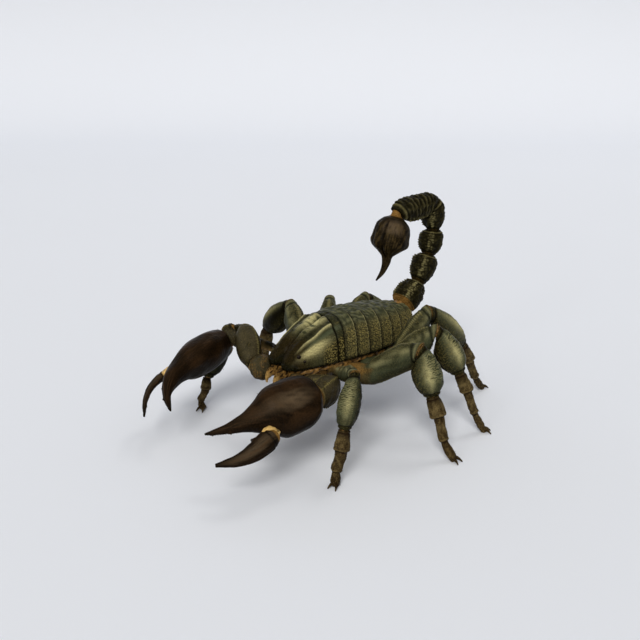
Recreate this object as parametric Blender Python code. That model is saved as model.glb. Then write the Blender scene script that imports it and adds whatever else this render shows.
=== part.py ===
"""Desert scorpion, life size, standing with its tail arched over its back.

The head faces -Y, +Z is up and the animal's left side is +X.  All sizes below
are millimetres; MM turns them into Blender's metres.  The origin ends up on
the floor under the middle of the whole animal.
"""

import math

import bmesh
import bpy
from mathutils import Vector

MM = 0.001
GAP = 0.3                 # clearance between neighbouring solids

# ---------------------------------------------------------------- trunk
HEAD_Y = 5.0              # median notch of the carapace
SEAMS = (22.5, 27.2, 32.4, 37.8, 43.0, 48.0, 52.6)   # front edges of tergites 1-7
TRUNK_END = 56.8
SEAM_BOW = 3.2            # how far a seam's middle lies behind its ends
NOTCH_DEPTH = 2.6
RIM = 0.55                # thickness of a plate at its margin
FLANK = 1.6               # step down from a plate's margin to the belly's edge
UNDER_SHARE = 0.86        # breadth of the underside against the plates above it
BACK_ROUNDNESS = 2.4      # exponents of the two domes: 2 is an ellipse, more is boxier
BELLY_ROUNDNESS = 2.6

# y, half width, margin height, ridge height, belly height
TRUNK = (
    (2.0, 6.4, 25.2, 26.7, 21.4),
    (8.0, 8.6, 25.4, 31.4, 20.0),
    (15.0, 10.4, 25.6, 35.2, 18.8),
    (22.0, 11.6, 25.8, 38.2, 18.4),
    (32.0, 12.4, 25.8, 38.6, 18.4),
    (44.0, 12.0, 26.2, 37.4, 19.0),
    (52.0, 10.2, 27.4, 36.2, 21.2),
    (58.0, 6.6, 29.2, 35.4, 25.0),
)
# ridges of the carapace: height, middle and breadth as shares of the half width
SWELLING = (0.9, 0.42, 0.2)
FURROW = (-0.7, 0.0, 0.12)
# eyes: x, y, radius
EYES = {"median": (0.9, 12.6, 0.6), "lateral": (6.2, 6.4, 0.5)}
EYE_LIFT = 0.35           # clears the flat facets of the carapace
# chelicera: x, y, z, half width, half height
CHELICERA = (
    (2.2, 6.4, 22.9, 1.7, 1.6),
    (2.2, 3.4, 22.8, 1.9, 1.8),
    (2.1, 0.6, 22.6, 1.8, 1.7),
    (2.0, -1.6, 21.6, 1.2, 1.1),
    (1.9, -2.6, 20.0, 0.6, 0.6),
    (1.6, -2.7, 18.6, 0.3, 0.3),
)
# comb: y of its inner end, sweep to the rear, inner and outer ends, thickness
COMB_Y = 30.0
COMB_SWEEP = 2.6
COMB_INNER = 1.0
COMB_OUTER = 9.0
COMB_THICKNESS = 1.0
COMB_BAR = 1.0            # depth of the bar, and how far the teeth reach
TOOTH_REACH = 2.3
COMB_TEETH = 9

# ---------------------------------------------------------------- tail
# joints of the tail in the middle plane (y, z), then (half width, half height)
TAIL_JOINTS = ((58.0, 33.6), (66.2, 41.0), (71.0, 50.3), (73.3, 59.0), (72.3, 68.9), (54.4, 67.4))
TAIL_SIZES = ((5.2, 4.9), (4.1, 4.1), (3.9, 3.9), (3.8, 3.9), (3.8, 4.0))
# telson: y, z, half width, half height
TELSON = (
    (54.3, 67.4, 1.8, 1.8),
    (54.1, 66.2, 2.2, 2.2),
    (53.6, 65.0, 4.8, 4.8),
    (52.7, 62.2, 6.5, 6.5),
    (51.8, 59.0, 6.6, 6.8),
    (50.9, 56.0, 5.1, 5.3),
    (50.4, 53.4, 2.6, 2.8),
    (49.8, 50.6, 1.5, 1.6),
    (48.2, 47.8, 0.9, 1.0),
    (45.4, 45.4, 0.3, 0.3),
)

# ---------------------------------------------------------------- walking legs
# where each leg leaves the trunk (y, z), and how stout it is
LEG_ROOTS = {1: (16.0, 21.8), 2: (23.0, 21.4), 3: (30.4, 21.6), 4: (38.0, 22.2)}
LEG_GIRTH = {1: 0.88, 2: 1.1, 3: 1.02, 4: 1.0}
# rise of the hip, knee (x, y, z), foot (x, y) on the floor, bend of the shank outward and down
LEG_POSES = {
    "L1": (5.6, (31.0, 7.0, 31.4), (34.2, -3.0), 0.7, 1.2),
    "L2": (0.4, (33.2, 32.0, 33.2), (46.6, 34.4), 1.3, 1.0),
    "L3": (0.4, (27.8, 45.5, 34.8), (40.3, 57.0), 1.0, 0.95),
    "L4": (1.4, (20.4, 49.6, 38.8), (17.6, 84.7), 0.72, 1.06),
    "R1": (0.4, (40.8, 11.3, 21.0), (34.3, -4.1), 0.26, 1.15),
    "R2": (0.4, (29.0, 31.2, 32.4), (47.0, 30.5), 0.38, 0.87),
    "R3": (0.4, (27.4, 48.6, 31.0), (39.0, 56.6), 1.0, 1.0),
    "R4": (0.4, (19.6, 59.6, 32.0), (20.6, 82.6), 0.8, 1.0),
}
# joints below the knee: share of the way out, share of the knee's height
SHANK = ((0.45, 0.58), (0.62, 0.40), (0.80, 0.17))

# ---------------------------------------------------------------- pedipalps
ELBOW_TRIM = 3.3          # how far back both ends lie at a folded elbow
WRIST_TRIM = 0.7
PALP_STOUTNESS = {"L": 0.9, "R": 1.3}
PALP_ROOT = (6.7, 4.8, 22.3)
PALP_SHOULDER = (10.6, 1.4, 22.1)
PALP_ELBOWS = {"L": (18.0, 14.5, 22.0), "R": (28.2, 9.2, 31.3)}
# palm and fixed finger: x, y, z, half breadth, half thickness
PALMS = {
    "L": (
        (21.6, -0.4, 21.4, 2.6, 2.6),
        (21.8, -3.0, 21.9, 6.0, 4.9),
        (21.4, -6.6, 22.3, 8.1, 6.2),
        (20.4, -11.0, 22.1, 8.3, 6.3),
        (19.4, -15.2, 21.8, 7.0, 5.5),
        (18.2, -18.6, 20.8, 4.5, 3.8),
        (16.2, -21.9, 19.6, 2.8, 2.5),
        (13.4, -26.0, 18.0, 1.7, 1.6),
        (9.3, -30.4, 16.3, 0.4, 0.4),
    ),
    "R": (
        (33.4, 6.6, 23.0, 2.6, 2.6),
        (33.2, 3.6, 22.9, 5.2, 4.4),
        (32.4, -0.2, 22.6, 7.1, 5.8),
        (31.0, -5.2, 22.1, 8.3, 6.3),
        (29.2, -10.6, 21.5, 7.8, 5.5),
        (27.4, -16.1, 20.7, 5.0, 4.0),
        (24.6, -21.2, 19.1, 3.1, 2.7),
        (19.9, -25.6, 17.2, 1.9, 1.7),
        (13.7, -28.2, 14.6, 0.4, 0.4),
    ),
}
PALM_BROADSIDE = (32.0, -10.0, -38.0)
# movable finger: x, y, z, half breadth, half thickness
FINGERS = {
    "L": (
        (25.1, -17.9, 17.8, 2.1, 2.1),
        (25.8, -20.8, 17.4, 3.0, 2.5),
        (26.0, -25.0, 15.8, 2.6, 2.1),
        (24.4, -29.4, 14.0, 1.7, 1.5),
        (20.0, -34.0, 12.2, 0.4, 0.4),
    ),
    "R": (
        (33.6, -16.8, 18.0, 2.1, 2.1),
        (33.8, -19.4, 17.2, 2.8, 2.4),
        (31.8, -24.6, 15.6, 2.3, 2.0),
        (27.2, -29.4, 14.0, 1.6, 1.4),
        (20.0, -34.0, 12.2, 0.4, 0.4),
    ),
}


def clear_scene():
    for item in list(bpy.data.objects):
        bpy.data.objects.remove(item, do_unlink=True)


def collection(name):
    made = bpy.data.collections.new(name)
    bpy.context.scene.collection.children.link(made)
    return made


def principled(name, colour, roughness):
    material = bpy.data.materials.new(name)
    material.use_nodes = True
    shader = material.node_tree.nodes["Principled BSDF"]
    shader.inputs["Base Color"].default_value = (*colour, 1.0)
    shader.inputs["Roughness"].default_value = roughness
    shader.inputs["Metallic"].default_value = 0.0
    material.diffuse_color = (*colour, 1.0)
    return material


def add_object(name, mesh, finish):
    """One named sub-part with a material of its own."""
    colour, roughness = FINISHES[finish]
    mesh.materials.append(principled(name + "_" + finish, colour, roughness))
    made = bpy.data.objects.new(name, mesh)
    PARTS.objects.link(made)
    return made


def between(low, high, share):
    return low + (high - low) * share


def sample(rows, key):
    """Values of a table of rows at key, its first column, joined smoothly."""
    if key <= rows[0][0]:
        return rows[0][1:]
    for low, high in zip(rows, rows[1:]):
        if key <= high[0]:
            share = (key - low[0]) / (high[0] - low[0])
            return tuple(between(a, b, share) for a, b in zip(low[1:], high[1:]))
    return rows[-1][1:]


def close_tube(name, rings, finish):
    """A closed body through rings of points, with a flat cap on each end."""
    net = bmesh.new()
    loops = [[net.verts.new(Vector(point) * MM) for point in ring] for ring in rings]
    sides = len(loops[0])
    for low, high in zip(loops, loops[1:]):
        for i in range(sides):
            j = (i + 1) % sides
            net.faces.new((low[i], low[j], high[j], high[i]))
    net.faces.new(list(reversed(loops[0])))
    net.faces.new(loops[-1])
    bmesh.ops.recalc_face_normals(net, faces=net.faces)
    mesh = bpy.data.meshes.new(name)
    net.to_mesh(mesh)
    net.free()
    for polygon in mesh.polygons:
        polygon.use_smooth = len(polygon.vertices) == 4
    return add_object(name, mesh, finish)


def ring(centre, normal, across, half_across, half_up, sides):
    """An oval of points round centre, square to normal."""
    normal = Vector(normal).normalized()
    across = Vector(across)
    across = (across - normal * across.dot(normal)).normalized()
    up = normal.cross(across)
    points = []
    for i in range(sides):
        turn = 2.0 * math.pi * (i + 0.5) / sides
        reach = across * (half_across * math.cos(turn)) + up * (half_up * math.sin(turn))
        points.append(Vector(centre) + reach)
    return points


def bent_tube(name, stations, across, sides, finish, first=None, last=None):
    """A tube through stations (x, y, z, half across, half up)."""
    places = [Vector(row[:3]) for row in stations]
    rings = []
    for i, row in enumerate(stations):
        ahead = places[min(i + 1, len(places) - 1)] - places[max(i - 1, 0)]
        if i == 0 and first is not None:
            ahead = first
        if i == len(stations) - 1 and last is not None:
            ahead = last
        rings.append(ring(places[i], ahead, across, row[3], row[4], sides))
    return close_tube(name, rings, finish)


def segment(name, start, end, profile, across, sides, first=None, last=None, trims=(0.0, 0.0)):
    """One straight joint of a limb; profile rows are (share, half across, half up).

    first and last are the directions that its end faces look along, so that
    two neighbours share one mitre plane with half of GAP on each side.  At a
    tightly folded joint the ends are trimmed back instead.
    """
    start = Vector(start)
    end = Vector(end)
    along = (end - start).normalized()
    first = Vector(first).normalized() if first is not None else along
    last = Vector(last).normalized() if last is not None else along
    start = start + along * (trims[0] + 0.5 * GAP / max(0.3, along.dot(first)))
    end = end - along * (trims[1] + 0.5 * GAP / max(0.3, along.dot(last)))
    rings = []
    for share, half_across, half_up in profile:
        if share < 0.5:
            facing = first.lerp(along, min(1.0, share * 3.0))
        else:
            facing = last.lerp(along, min(1.0, (1.0 - share) * 3.0))
        rings.append(ring(start.lerp(end, share), facing, across, half_across, half_up, sides))
    return close_tube(name, rings, "shell")


def mitre(before, joint, after):
    """The direction that a mitre plane at joint looks along."""
    going_in = (Vector(joint) - Vector(before)).normalized()
    going_out = (Vector(after) - Vector(joint)).normalized()
    return (going_in + going_out).normalized()


def block(name, front, rear, width, upper, lower, columns, rows, finish):
    """A body slab: a grid shaped by functions, and extruded to its lower face.

    u runs from -1 on the right margin to 1 on the left one.
    """
    net = bmesh.new()
    bmesh.ops.create_grid(net, x_segments=columns, y_segments=rows, size=1.0)
    top = list(net.verts)
    sheet = list(net.faces)
    made = bmesh.ops.extrude_face_region(net, geom=sheet, use_keep_orig=True)
    bottom = [item for item in made["geom"] if isinstance(item, bmesh.types.BMVert)]
    for group, height in ((top, upper), (bottom, lower)):
        for vert in group:
            u = math.sin(vert.co.x * math.pi / 2.0)
            y = between(front(u), rear(u), (vert.co.y + 1.0) / 2.0)
            vert.co = Vector((u * width(y), y, height(u, y))) * MM
    bmesh.ops.recalc_face_normals(net, faces=net.faces)
    mesh = bpy.data.meshes.new(name)
    net.to_mesh(mesh)
    net.free()
    return add_object(name, mesh, finish)


# ------------------------------------------------------------------ trunk shapes
def trunk_width(y):
    return sample(TRUNK, y)[0]


def dome(u, power):
    return (1.0 - abs(u) ** power) ** (1.0 / power)


def back_height(u, y):
    margin, ridge = sample(TRUNK, y)[1:3]
    return between(margin + RIM, ridge, dome(u, BACK_ROUNDNESS))


def ridge_height(u, ridge):
    height, middle, breadth = ridge
    return height * math.exp(-(((abs(u) - middle) / breadth) ** 2))


def carapace_height(u, y):
    """The back with two lengthwise swellings and a furrow, fading out at the front."""
    fade = min(1.0, (y - TRUNK[0][0]) / 8.0)
    return back_height(u, y) + (ridge_height(u, SWELLING) + ridge_height(u, FURROW)) * fade


def margin_height(u, y):
    return sample(TRUNK, y)[1]


def under_width(y):
    return trunk_width(y) * UNDER_SHARE


def under_top(u, y):
    return margin_height(u, y) - GAP


def belly_height(u, y):
    edge = margin_height(u, y) - FLANK
    return between(edge, sample(TRUNK, y)[3], dome(u, BELLY_ROUNDNESS))


def seam(y):
    """Edge line of a tergite: its middle lies behind its ends."""
    return lambda u: y + SEAM_BOW * (0.45 - u * u)


def add_carapace():
    def front(u):
        """Two rounded lobes with a notch between them."""
        lobe = NOTCH_DEPTH * (math.exp(-((u / 0.22) ** 2)) - 0.35)
        return HEAD_Y - 1.8 + lobe + 2.2 * u ** 4

    rear = seam(SEAMS[0])
    block("carapace", front, lambda u: rear(u) - GAP / 2,
          trunk_width, carapace_height, margin_height, 12, 7, "shell")


def add_tergites():
    for number, y in enumerate(SEAMS, start=1):
        front = seam(y)
        if number < len(SEAMS):
            rear = seam(SEAMS[number])
        else:
            def rear(u):
                return TRUNK_END - 1.2 * u * u
        block(
            "tergite_%d" % number,
            lambda u, edge=front: edge(u) + GAP / 2,
            lambda u, edge=rear: edge(u) - GAP / 2,
            trunk_width, back_height, margin_height, 10, 2, "shell",
        )


def add_underside():
    split = SEAMS[1]
    block("coxosternum", lambda u: HEAD_Y + 3.0, lambda u: split - GAP / 2,
          under_width, under_top, belly_height, 8, 4, "underside")
    block("sternites", lambda u: split + GAP / 2, lambda u: TRUNK_END - 0.6,
          under_width, under_top, belly_height, 8, 6, "underside")


def add_legs(side, hand):
    for number, (root_y, root_z) in LEG_ROOTS.items():
        label = "leg_%s%d_" % (hand, number)
        rise, knee, foot, outward, down = LEG_POSES[hand + str(number)]
        g = LEG_GIRTH[number]
        clear = max(under_width(root_y - 3.0), under_width(root_y + 3.0)) + GAP
        root = Vector((clear, root_y, root_z))
        knee = Vector(knee)
        foot = Vector((*foot, 0.0))
        joints = []
        for out, high in SHANK:
            place = knee.lerp(foot, out ** outward)
            place.z = knee.z * high ** down
            joints.append(place)
        wrist, ankle, heel = joints
        hip = root.lerp(knee, 0.3)
        hip.x = max(hip.x, under_width(hip.y) + 4.0)
        hip.z = root.z + rise
        points = [root, hip, knee, wrist, ankle, heel, foot]
        points = [Vector((p.x * side, p.y, p.z)) for p in points]
        root, hip, knee, wrist, ankle, heel, foot = points
        plane = (foot - knee).cross(Vector((0.0, 0.0, 1.0))).normalized()
        knee_face = mitre(hip, knee, wrist)
        wrist_face = mitre(knee, wrist, ankle)

        thigh = hip.lerp(knee, 0.5)
        femur = [
            (*root, 2.7 * g, 2.7 * g),
            (*root.lerp(hip, 0.5), 3.0 * g, 2.9 * g),
            (*hip, 2.7 * g, 3.0 * g),
            (*hip.lerp(thigh, 0.6), 2.7 * g, 3.6 * g),
            (*thigh.lerp(knee, 0.4), 2.8 * g, 3.8 * g),
            (*(knee - (knee - hip).normalized() * (0.25 + 0.5 * GAP)), 2.0 * g, 2.4 * g),
        ]
        bent_tube(label + "femur", femur, plane, 8, "shell", first=(side, 0, 0), last=knee_face)
        patella = [
            (0.0, 2.0 * g, 2.4 * g),
            (0.16, 2.8 * g, 3.6 * g),
            (0.42, 3.3 * g, 4.3 * g),
            (0.72, 3.1 * g, 4.0 * g),
            (0.92, 2.3 * g, 2.8 * g),
            (1.0, 1.7 * g, 2.0 * g),
        ]
        segment(label + "patella", knee, wrist, patella, plane, 8, knee_face, wrist_face)
        add_foot(label + "foot", wrist, ankle, heel, foot, plane, g, wrist_face)


def add_foot(name, wrist, ankle, heel, foot, plane, g, first):
    """Tibia, the two joints of the tarsus and a small flat sole."""
    start = wrist + (ankle - wrist).normalized() * (0.5 * GAP)
    rows = [
        (*start, 1.7 * g, 2.0 * g),
        (*wrist.lerp(ankle, 0.4), 2.1 * g, 2.5 * g),
        (*wrist.lerp(ankle, 0.92), 1.9 * g, 2.2 * g),
        (*ankle.lerp(heel, 0.1), 1.2 * g, 1.4 * g),
        (*ankle.lerp(heel, 0.85), 1.3 * g, 1.5 * g),
        (*heel.lerp(foot, 0.1), 0.9 * g, 1.0 * g),
        (*heel.lerp(foot, 0.6), 0.9 * g, 1.0 * g),
        (*foot, 1.3 * g, 1.1 * g),
    ]
    bent_tube(name, rows, plane, 8, "tarsus", first=first, last=(0, 0, -1))


def mirror_row(row, side):
    return (row[0] * side, *row[1:])


def add_pedipalp(side, hand):
    label = "pedipalp_%s_" % hand
    root, shoulder, elbow = (
        Vector(mirror_row(place, side)) for place in (PALP_ROOT, PALP_SHOULDER, PALP_ELBOWS[hand])
    )
    palm = [mirror_row(row, side) for row in PALMS[hand]]
    finger = [mirror_row(row, side) for row in FINGERS[hand]]
    wrist = Vector(palm[0][:3])
    broad = mirror_row(PALM_BROADSIDE, side)
    upright = (0.0, 0.0, 1.0)

    stout = PALP_STOUTNESS[hand]
    shoulder_face = mitre(root, shoulder, elbow)
    wrist_face = mitre(elbow, wrist, palm[2][:3])
    trochanter = (
        (0.0, 2.4, 2.4),
        (0.45, 3.1 * stout, 3.1 * stout),
        (1.0, 1.5, 1.5),
    )
    femur = (
        (0.0, 1.6, 1.6),
        (0.22, 2.8, 2.5 * stout),
        (0.5, 3.5 * stout, 3.1 * stout),
        (0.82, 3.2 * stout, 2.6 * stout),
        (1.0, 2.2, 1.2 * stout),
    )
    patella = (
        (0.0, 2.2, 1.0),
        (0.18, 3.6, 2.1),
        (0.5, 4.3, 3.3),
        (0.84, 3.7, 3.3),
        (1.0, 2.3, 2.2),
    )
    segment(label + "trochanter", root, shoulder, trochanter, upright, 8, None, shoulder_face)
    segment(label + "femur", shoulder, elbow, femur, upright, 10, shoulder_face, None, (0.0, ELBOW_TRIM))
    segment(label + "patella", elbow, wrist, patella, upright, 10, None, wrist_face, (ELBOW_TRIM, WRIST_TRIM))
    start = wrist + (Vector(palm[1][:3]) - wrist).normalized() * (0.5 * GAP)
    palm[0] = (*start, *palm[0][3:])
    bent_tube(label + "chela", palm, broad, 14, "claw", first=wrist_face)
    bent_tube(label + "finger", finger, broad, 10, "claw")


def add_chelicera(side, hand):
    rows = [mirror_row(row, side) for row in CHELICERA]
    bent_tube("chelicera_" + hand, rows, (1, 0, 0), 8, "mouth", first=(0, -1, 0))


def add_eye(kind, side, hand):
    """A low dome with a flat base, just clear of the carapace."""
    x, y, radius = EYES[kind]
    name = "eye_%s_%s" % (kind, hand)
    net = bmesh.new()
    bmesh.ops.create_uvsphere(net, u_segments=10, v_segments=6, radius=radius * MM)
    lower = [vert for vert in net.verts if vert.co.z < -1e-6]
    for vert in lower:
        vert.co.z = 0.0
    bmesh.ops.remove_doubles(net, verts=net.verts, dist=1e-6)
    mesh = bpy.data.meshes.new(name)
    net.to_mesh(mesh)
    net.free()
    made = add_object(name, mesh, "eye")
    made.location = Vector((x * side, y, carapace_height(x / trunk_width(y), y) + EYE_LIFT)) * MM


def add_tail():
    joints = [Vector((0.0, y, z)) for y, z in TAIL_JOINTS]
    ahead = 2.0 * joints[0] - joints[1]
    ahead.z = joints[0].z - 2.0
    before = [ahead] + joints
    faces = [mitre(before[i], joints[i], joints[i + 1]) for i in range(len(joints) - 1)]
    tip = Vector((0.0, *TELSON[1][:2]))
    faces.append(mitre(joints[-2], joints[-1], tip))
    for number, (wide, high) in enumerate(TAIL_SIZES, start=1):
        profile = (
            (0.0, wide * 0.66, high * 0.66),
            (0.14, wide * 0.92, high * 0.92),
            (0.5, wide, high),
            (0.84, wide, high),
            (1.0, wide * 0.7, high * 0.7),
        )
        segment("metasoma_%d" % number, joints[number - 1], joints[number], profile,
                (1, 0, 0), 10, faces[number - 1], faces[number])
    rows = [(0.0, *row) for row in TELSON]
    away = (tip - joints[-1]).normalized()
    start = joints[-1] + away * (0.5 * GAP)
    rows[0] = (*start, *TELSON[0][2:])
    bent_tube("telson", rows, (1, 0, 0), 12, "sting", first=faces[-1])


def add_pecten(side, hand):
    """A comb under the belly: a flat bar with a row of teeth along its rear."""
    outline = [(COMB_INNER, 0.0), (COMB_OUTER, COMB_SWEEP)]
    for i in range(COMB_TEETH):
        x = between(COMB_OUTER, COMB_INNER + 0.6, i / (COMB_TEETH - 1.0))
        y = COMB_SWEEP * x / COMB_OUTER
        outline.append((x + 0.15, y + COMB_BAR))
        outline.append((x - 0.05, y + TOOTH_REACH))
        outline.append((x - 0.45, y + COMB_BAR))
    bed = bpy.data.curves.new("pecten_outline_" + hand, "CURVE")
    bed.dimensions = "2D"
    bed.fill_mode = "BOTH"
    bed.extrude = 0.5 * COMB_THICKNESS * MM
    line = bed.splines.new("POLY")
    line.points.add(len(outline) - 1)
    for point, (x, y) in zip(line.points, outline):
        point.co = (x * side * MM, y * MM, 0.0, 1.0)
    line.use_cyclic_u = True
    made = bpy.data.objects.new("pecten_" + hand, bed)
    bed.materials.append(principled("pecten_" + hand + "_mouth", *FINISHES["mouth"]))
    PARTS.objects.link(made)
    height = sample(TRUNK, COMB_Y)[3] - 0.5 * COMB_THICKNESS - GAP
    made.location = Vector((0.0, COMB_Y, height)) * MM


def stand_on_origin():
    """Put the origin on the floor under the middle of the whole animal."""
    bpy.context.view_layer.update()
    corners = []
    for item in PARTS.objects:
        corners += [item.matrix_world @ Vector(corner) for corner in item.bound_box]
    low = Vector(min(corner[i] for corner in corners) for i in range(3))
    high = Vector(max(corner[i] for corner in corners) for i in range(3))
    shift = Vector(((low.x + high.x) / 2.0, (low.y + high.y) / 2.0, low.z))
    for item in PARTS.objects:
        item.location -= shift


FINISHES = {
    "shell": ((0.05, 0.045, 0.018), 0.42),
    "claw": ((0.035, 0.022, 0.012), 0.34),
    "tarsus": ((0.11, 0.065, 0.025), 0.45),
    "underside": ((0.16, 0.085, 0.03), 0.5),
    "mouth": ((0.22, 0.11, 0.035), 0.45),
    "sting": ((0.045, 0.024, 0.012), 0.36),
    "eye": ((0.006, 0.006, 0.006), 0.12),
}

clear_scene()
PARTS = collection("desert_scorpion")
add_carapace()
add_tergites()
add_underside()
for SIDE, HAND in ((1, "L"), (-1, "R")):
    add_legs(SIDE, HAND)
    add_pedipalp(SIDE, HAND)
    add_chelicera(SIDE, HAND)
    add_pecten(SIDE, HAND)
    for KIND in EYES:
        add_eye(KIND, SIDE, HAND)
add_tail()
stand_on_origin()
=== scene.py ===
"""Looks of the desert scorpion: every shell plate, limb joint and claw, its stage and its camera.

Sizes inside the modelling functions are millimetres, and MM turns them into
metres.  The head faces -Y, +Z is up and +X is the animal's left side.
"""

import math

import bpy
import numpy as np
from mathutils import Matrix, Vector


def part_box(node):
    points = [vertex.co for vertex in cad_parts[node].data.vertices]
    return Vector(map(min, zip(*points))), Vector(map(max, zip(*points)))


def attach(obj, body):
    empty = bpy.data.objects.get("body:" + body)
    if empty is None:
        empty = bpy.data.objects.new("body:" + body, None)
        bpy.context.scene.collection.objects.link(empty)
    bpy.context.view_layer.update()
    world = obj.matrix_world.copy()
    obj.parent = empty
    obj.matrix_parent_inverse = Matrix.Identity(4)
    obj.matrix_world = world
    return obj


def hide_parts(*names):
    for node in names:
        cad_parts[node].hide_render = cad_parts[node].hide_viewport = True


bl_info = {
    "name": "Desert scorpion",
    "version": (1, 0, 0),
    "blender": (4, 5, 0),
    "location": "View3D > Sidebar > Scorpion",
    "description": "Builds the shell, limbs, claws, tail and stage of a desert scorpion",
    "category": "Add Mesh",
}

MM = 0.001
TAU = 2.0 * math.pi
# directions, and the two sides of the animal with the letter that the frame's nodes use
UPRIGHT = (0.0, 0.0, 1.0)
DOWN = (0.0, 0.0, -1.0)
FORWARD = (0.0, -1.0, 0.0)
SIDEWAYS = (1.0, 0.0, 0.0)
HANDS = ((1, "L"), (-1, "R"))

# what a piece's corners can carry for its finish, and the value on a plain surface: how far the relief
# stands up (low places get painted shade), granular, joint skin, dark marks and painted shade, pale marks
# and painted highlights, and smooth blue-grey and teal places with painted sheen
MASKS = {"lift": 0.5, "grain": 0.0, "amber": 0.0, "dark_and_shade": 0.0, "pale": 0.0, "slate_and_sheen": 0.0}
# finishes that are slots of the frame by the same name
ROW_SLOTS = ("shell", "claw", "tarsus", "underside", "mouth", "sting", "eye")

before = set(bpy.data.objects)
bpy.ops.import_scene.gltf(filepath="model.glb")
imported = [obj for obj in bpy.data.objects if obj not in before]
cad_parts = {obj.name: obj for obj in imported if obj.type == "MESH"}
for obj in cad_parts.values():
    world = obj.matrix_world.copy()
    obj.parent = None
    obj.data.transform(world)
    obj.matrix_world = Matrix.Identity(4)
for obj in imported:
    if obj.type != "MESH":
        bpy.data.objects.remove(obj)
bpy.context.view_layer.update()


# ---------------------------------------------------------------- settings
def length(name, text, default):
    """A size in millimetres."""
    return bpy.props.FloatProperty(name=name, description=text, default=default, min=0.0, precision=3)


def colour(name, text, default):
    """A colour of one of the finishes."""
    return bpy.props.FloatVectorProperty(
        name=name, description=text, default=default, subtype="COLOR", size=3, min=0.0, max=1.0
    )


def strength(name, text, default):
    """The strength of one of the lights."""
    return bpy.props.FloatProperty(name=name, description=text, default=default)


class ScorpionSizes(bpy.types.PropertyGroup):
    """Sizes of the relief, in millimetres."""

    mesh_step: length("Mesh step", "Spacing of the corners on a piece, in mm", 0.17)
    granule_pitch: length("Granule pitch", "Distance between granules, in mm", 0.5)
    granule_height: length("Granule height", "How far a granule stands up, in mm", 0.13)
    keel_height: length("Keel height", "How far a keel stands up, in mm", 0.28)
    plate_lap: length("Plate lap", "How far a back plate's rear edge stands over the next, in mm", 0.42)
    rib_height: length("Rib height", "Height of the cross ribs of the last tail ring, in mm", 0.3)
    tooth_height: length("Tooth height", "Height of the teeth along the fingers, in mm", 0.32)
    prong_length: length("Prong length", "Length of the two prongs of a foot, in mm", 2.6)
    hair_length: length("Hair length", "Length of the longest bristles, in mm", 2.0)


class ScorpionColours(bpy.types.PropertyGroup):
    """Colours of the finishes."""

    shell_dark: colour("Shell, dark", "Hollows of the olive shell", (0.0045, 0.0038, 0.0012))
    shell_olive: colour("Shell, olive", "Main colour of the shell", (0.0255, 0.0228, 0.0070))
    # also painted as highlights on the shell, the legs and the tail
    shell_pale: colour("Shell, pale", "Ridges and worn places of the shell", (0.70, 0.64, 0.31))
    shell_speck: colour("Shell, specks", "Granules of the shell", (0.22, 0.180, 0.058))
    # also painted as a highlight on the top of the head shield
    shell_slate: colour("Shell, slate", "Smooth blue-grey and teal places", (0.090, 0.106, 0.060))
    arm_brown: colour("Arm, brown", "Joints of the pedipalps", (0.036, 0.0255, 0.0100))
    # painted highlight on the faces of the pedipalp joints that look towards the light
    arm_highlight: colour("Arm, grey", "Worn faces of the pedipalp joints", (0.090, 0.079, 0.045))
    claw_dark: colour("Claw, dark", "Hollows of the claws", (0.0040, 0.0026, 0.0012))
    claw_brown: colour("Claw, brown", "Main colour of the claws", (0.0150, 0.0082, 0.0034))
    # painted highlight on the claws and the sting
    claw_highlight: colour("Claw, grey", "Soft pale streaks of the claws", (0.170, 0.122, 0.074))
    claw_red: colour("Claw, red", "Warm patches of the claws", (0.060, 0.031, 0.013))
    tarsus_tan: colour("Foot, tan", "Lower leg joints", (0.068, 0.046, 0.0175))
    tarsus_pale: colour("Foot, pale", "Worn places of the lower leg joints", (0.21, 0.155, 0.065))
    amber: colour("Joint skin", "Skin between the joints", (0.275, 0.148, 0.038))
    amber_pale: colour("Joint skin, pale", "Soft block at the root of the movable finger", (0.80, 0.53, 0.18))
    sting_brown: colour("Sting, brown", "Bulb of the sting", (0.0235, 0.0160, 0.0066))
    eye_black: colour("Eye", "Eyes", (0.004, 0.004, 0.004))
    floor: colour("Floor", "Floor and backdrop", (0.842, 0.893, 1.0))


class ScorpionStage(bpy.types.PropertyGroup):
    """Camera and lights."""

    azimuth: bpy.props.FloatProperty(
        name="Azimuth", description="Direction of the camera, from the front to the left side",
        default=math.radians(49.4), subtype="ANGLE")
    elevation: bpy.props.FloatProperty(
        name="Elevation", description="Height of the camera above the horizon",
        default=math.radians(18.8), subtype="ANGLE")
    distance: bpy.props.FloatProperty(
        name="Distance", description="From the camera to the point it looks at",
        default=0.2858, subtype="DISTANCE", unit="LENGTH")
    view: bpy.props.FloatProperty(
        name="Field of view", description="Angle that the picture takes in",
        default=math.radians(45.0), subtype="ANGLE")
    target: bpy.props.FloatVectorProperty(
        name="Target", description="Point that the camera looks at",
        default=(-0.02606, 0.01706, 0.02498), subtype="XYZ", unit="LENGTH")
    key: strength("Key light", "Strength of the soft key light", 1.75)
    fill: strength("Fill light", "Power of the fill light, in watts", 1.6)
    rim: strength("Rim light", "Power of the light from behind, in watts", 2.0)
    sky: strength("Sky", "Strength of the light from all round", 0.35)


def sizes():
    """The sizes in the scene's settings."""
    return bpy.context.scene.scorpion_sizes


def colours():
    """The colours in the scene's settings."""
    return bpy.context.scene.scorpion_colours


# ---------------------------------------------------------------- numbers over a surface
def flow(x, low, high):
    """0 below low, 1 above high, smooth between."""
    t = np.clip((x - low) / (high - low), 0.0, 1.0)
    return t * t * (3.0 - 2.0 * t)


def hill(x, centre, width):
    """1 at the centre, falling smoothly to about 0 at two widths from it."""
    return np.exp(-(((x - centre) / width) ** 2))


def unit(x):
    """x kept between 0 and 1."""
    return np.clip(x, 0.0, 1.0)


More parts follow.
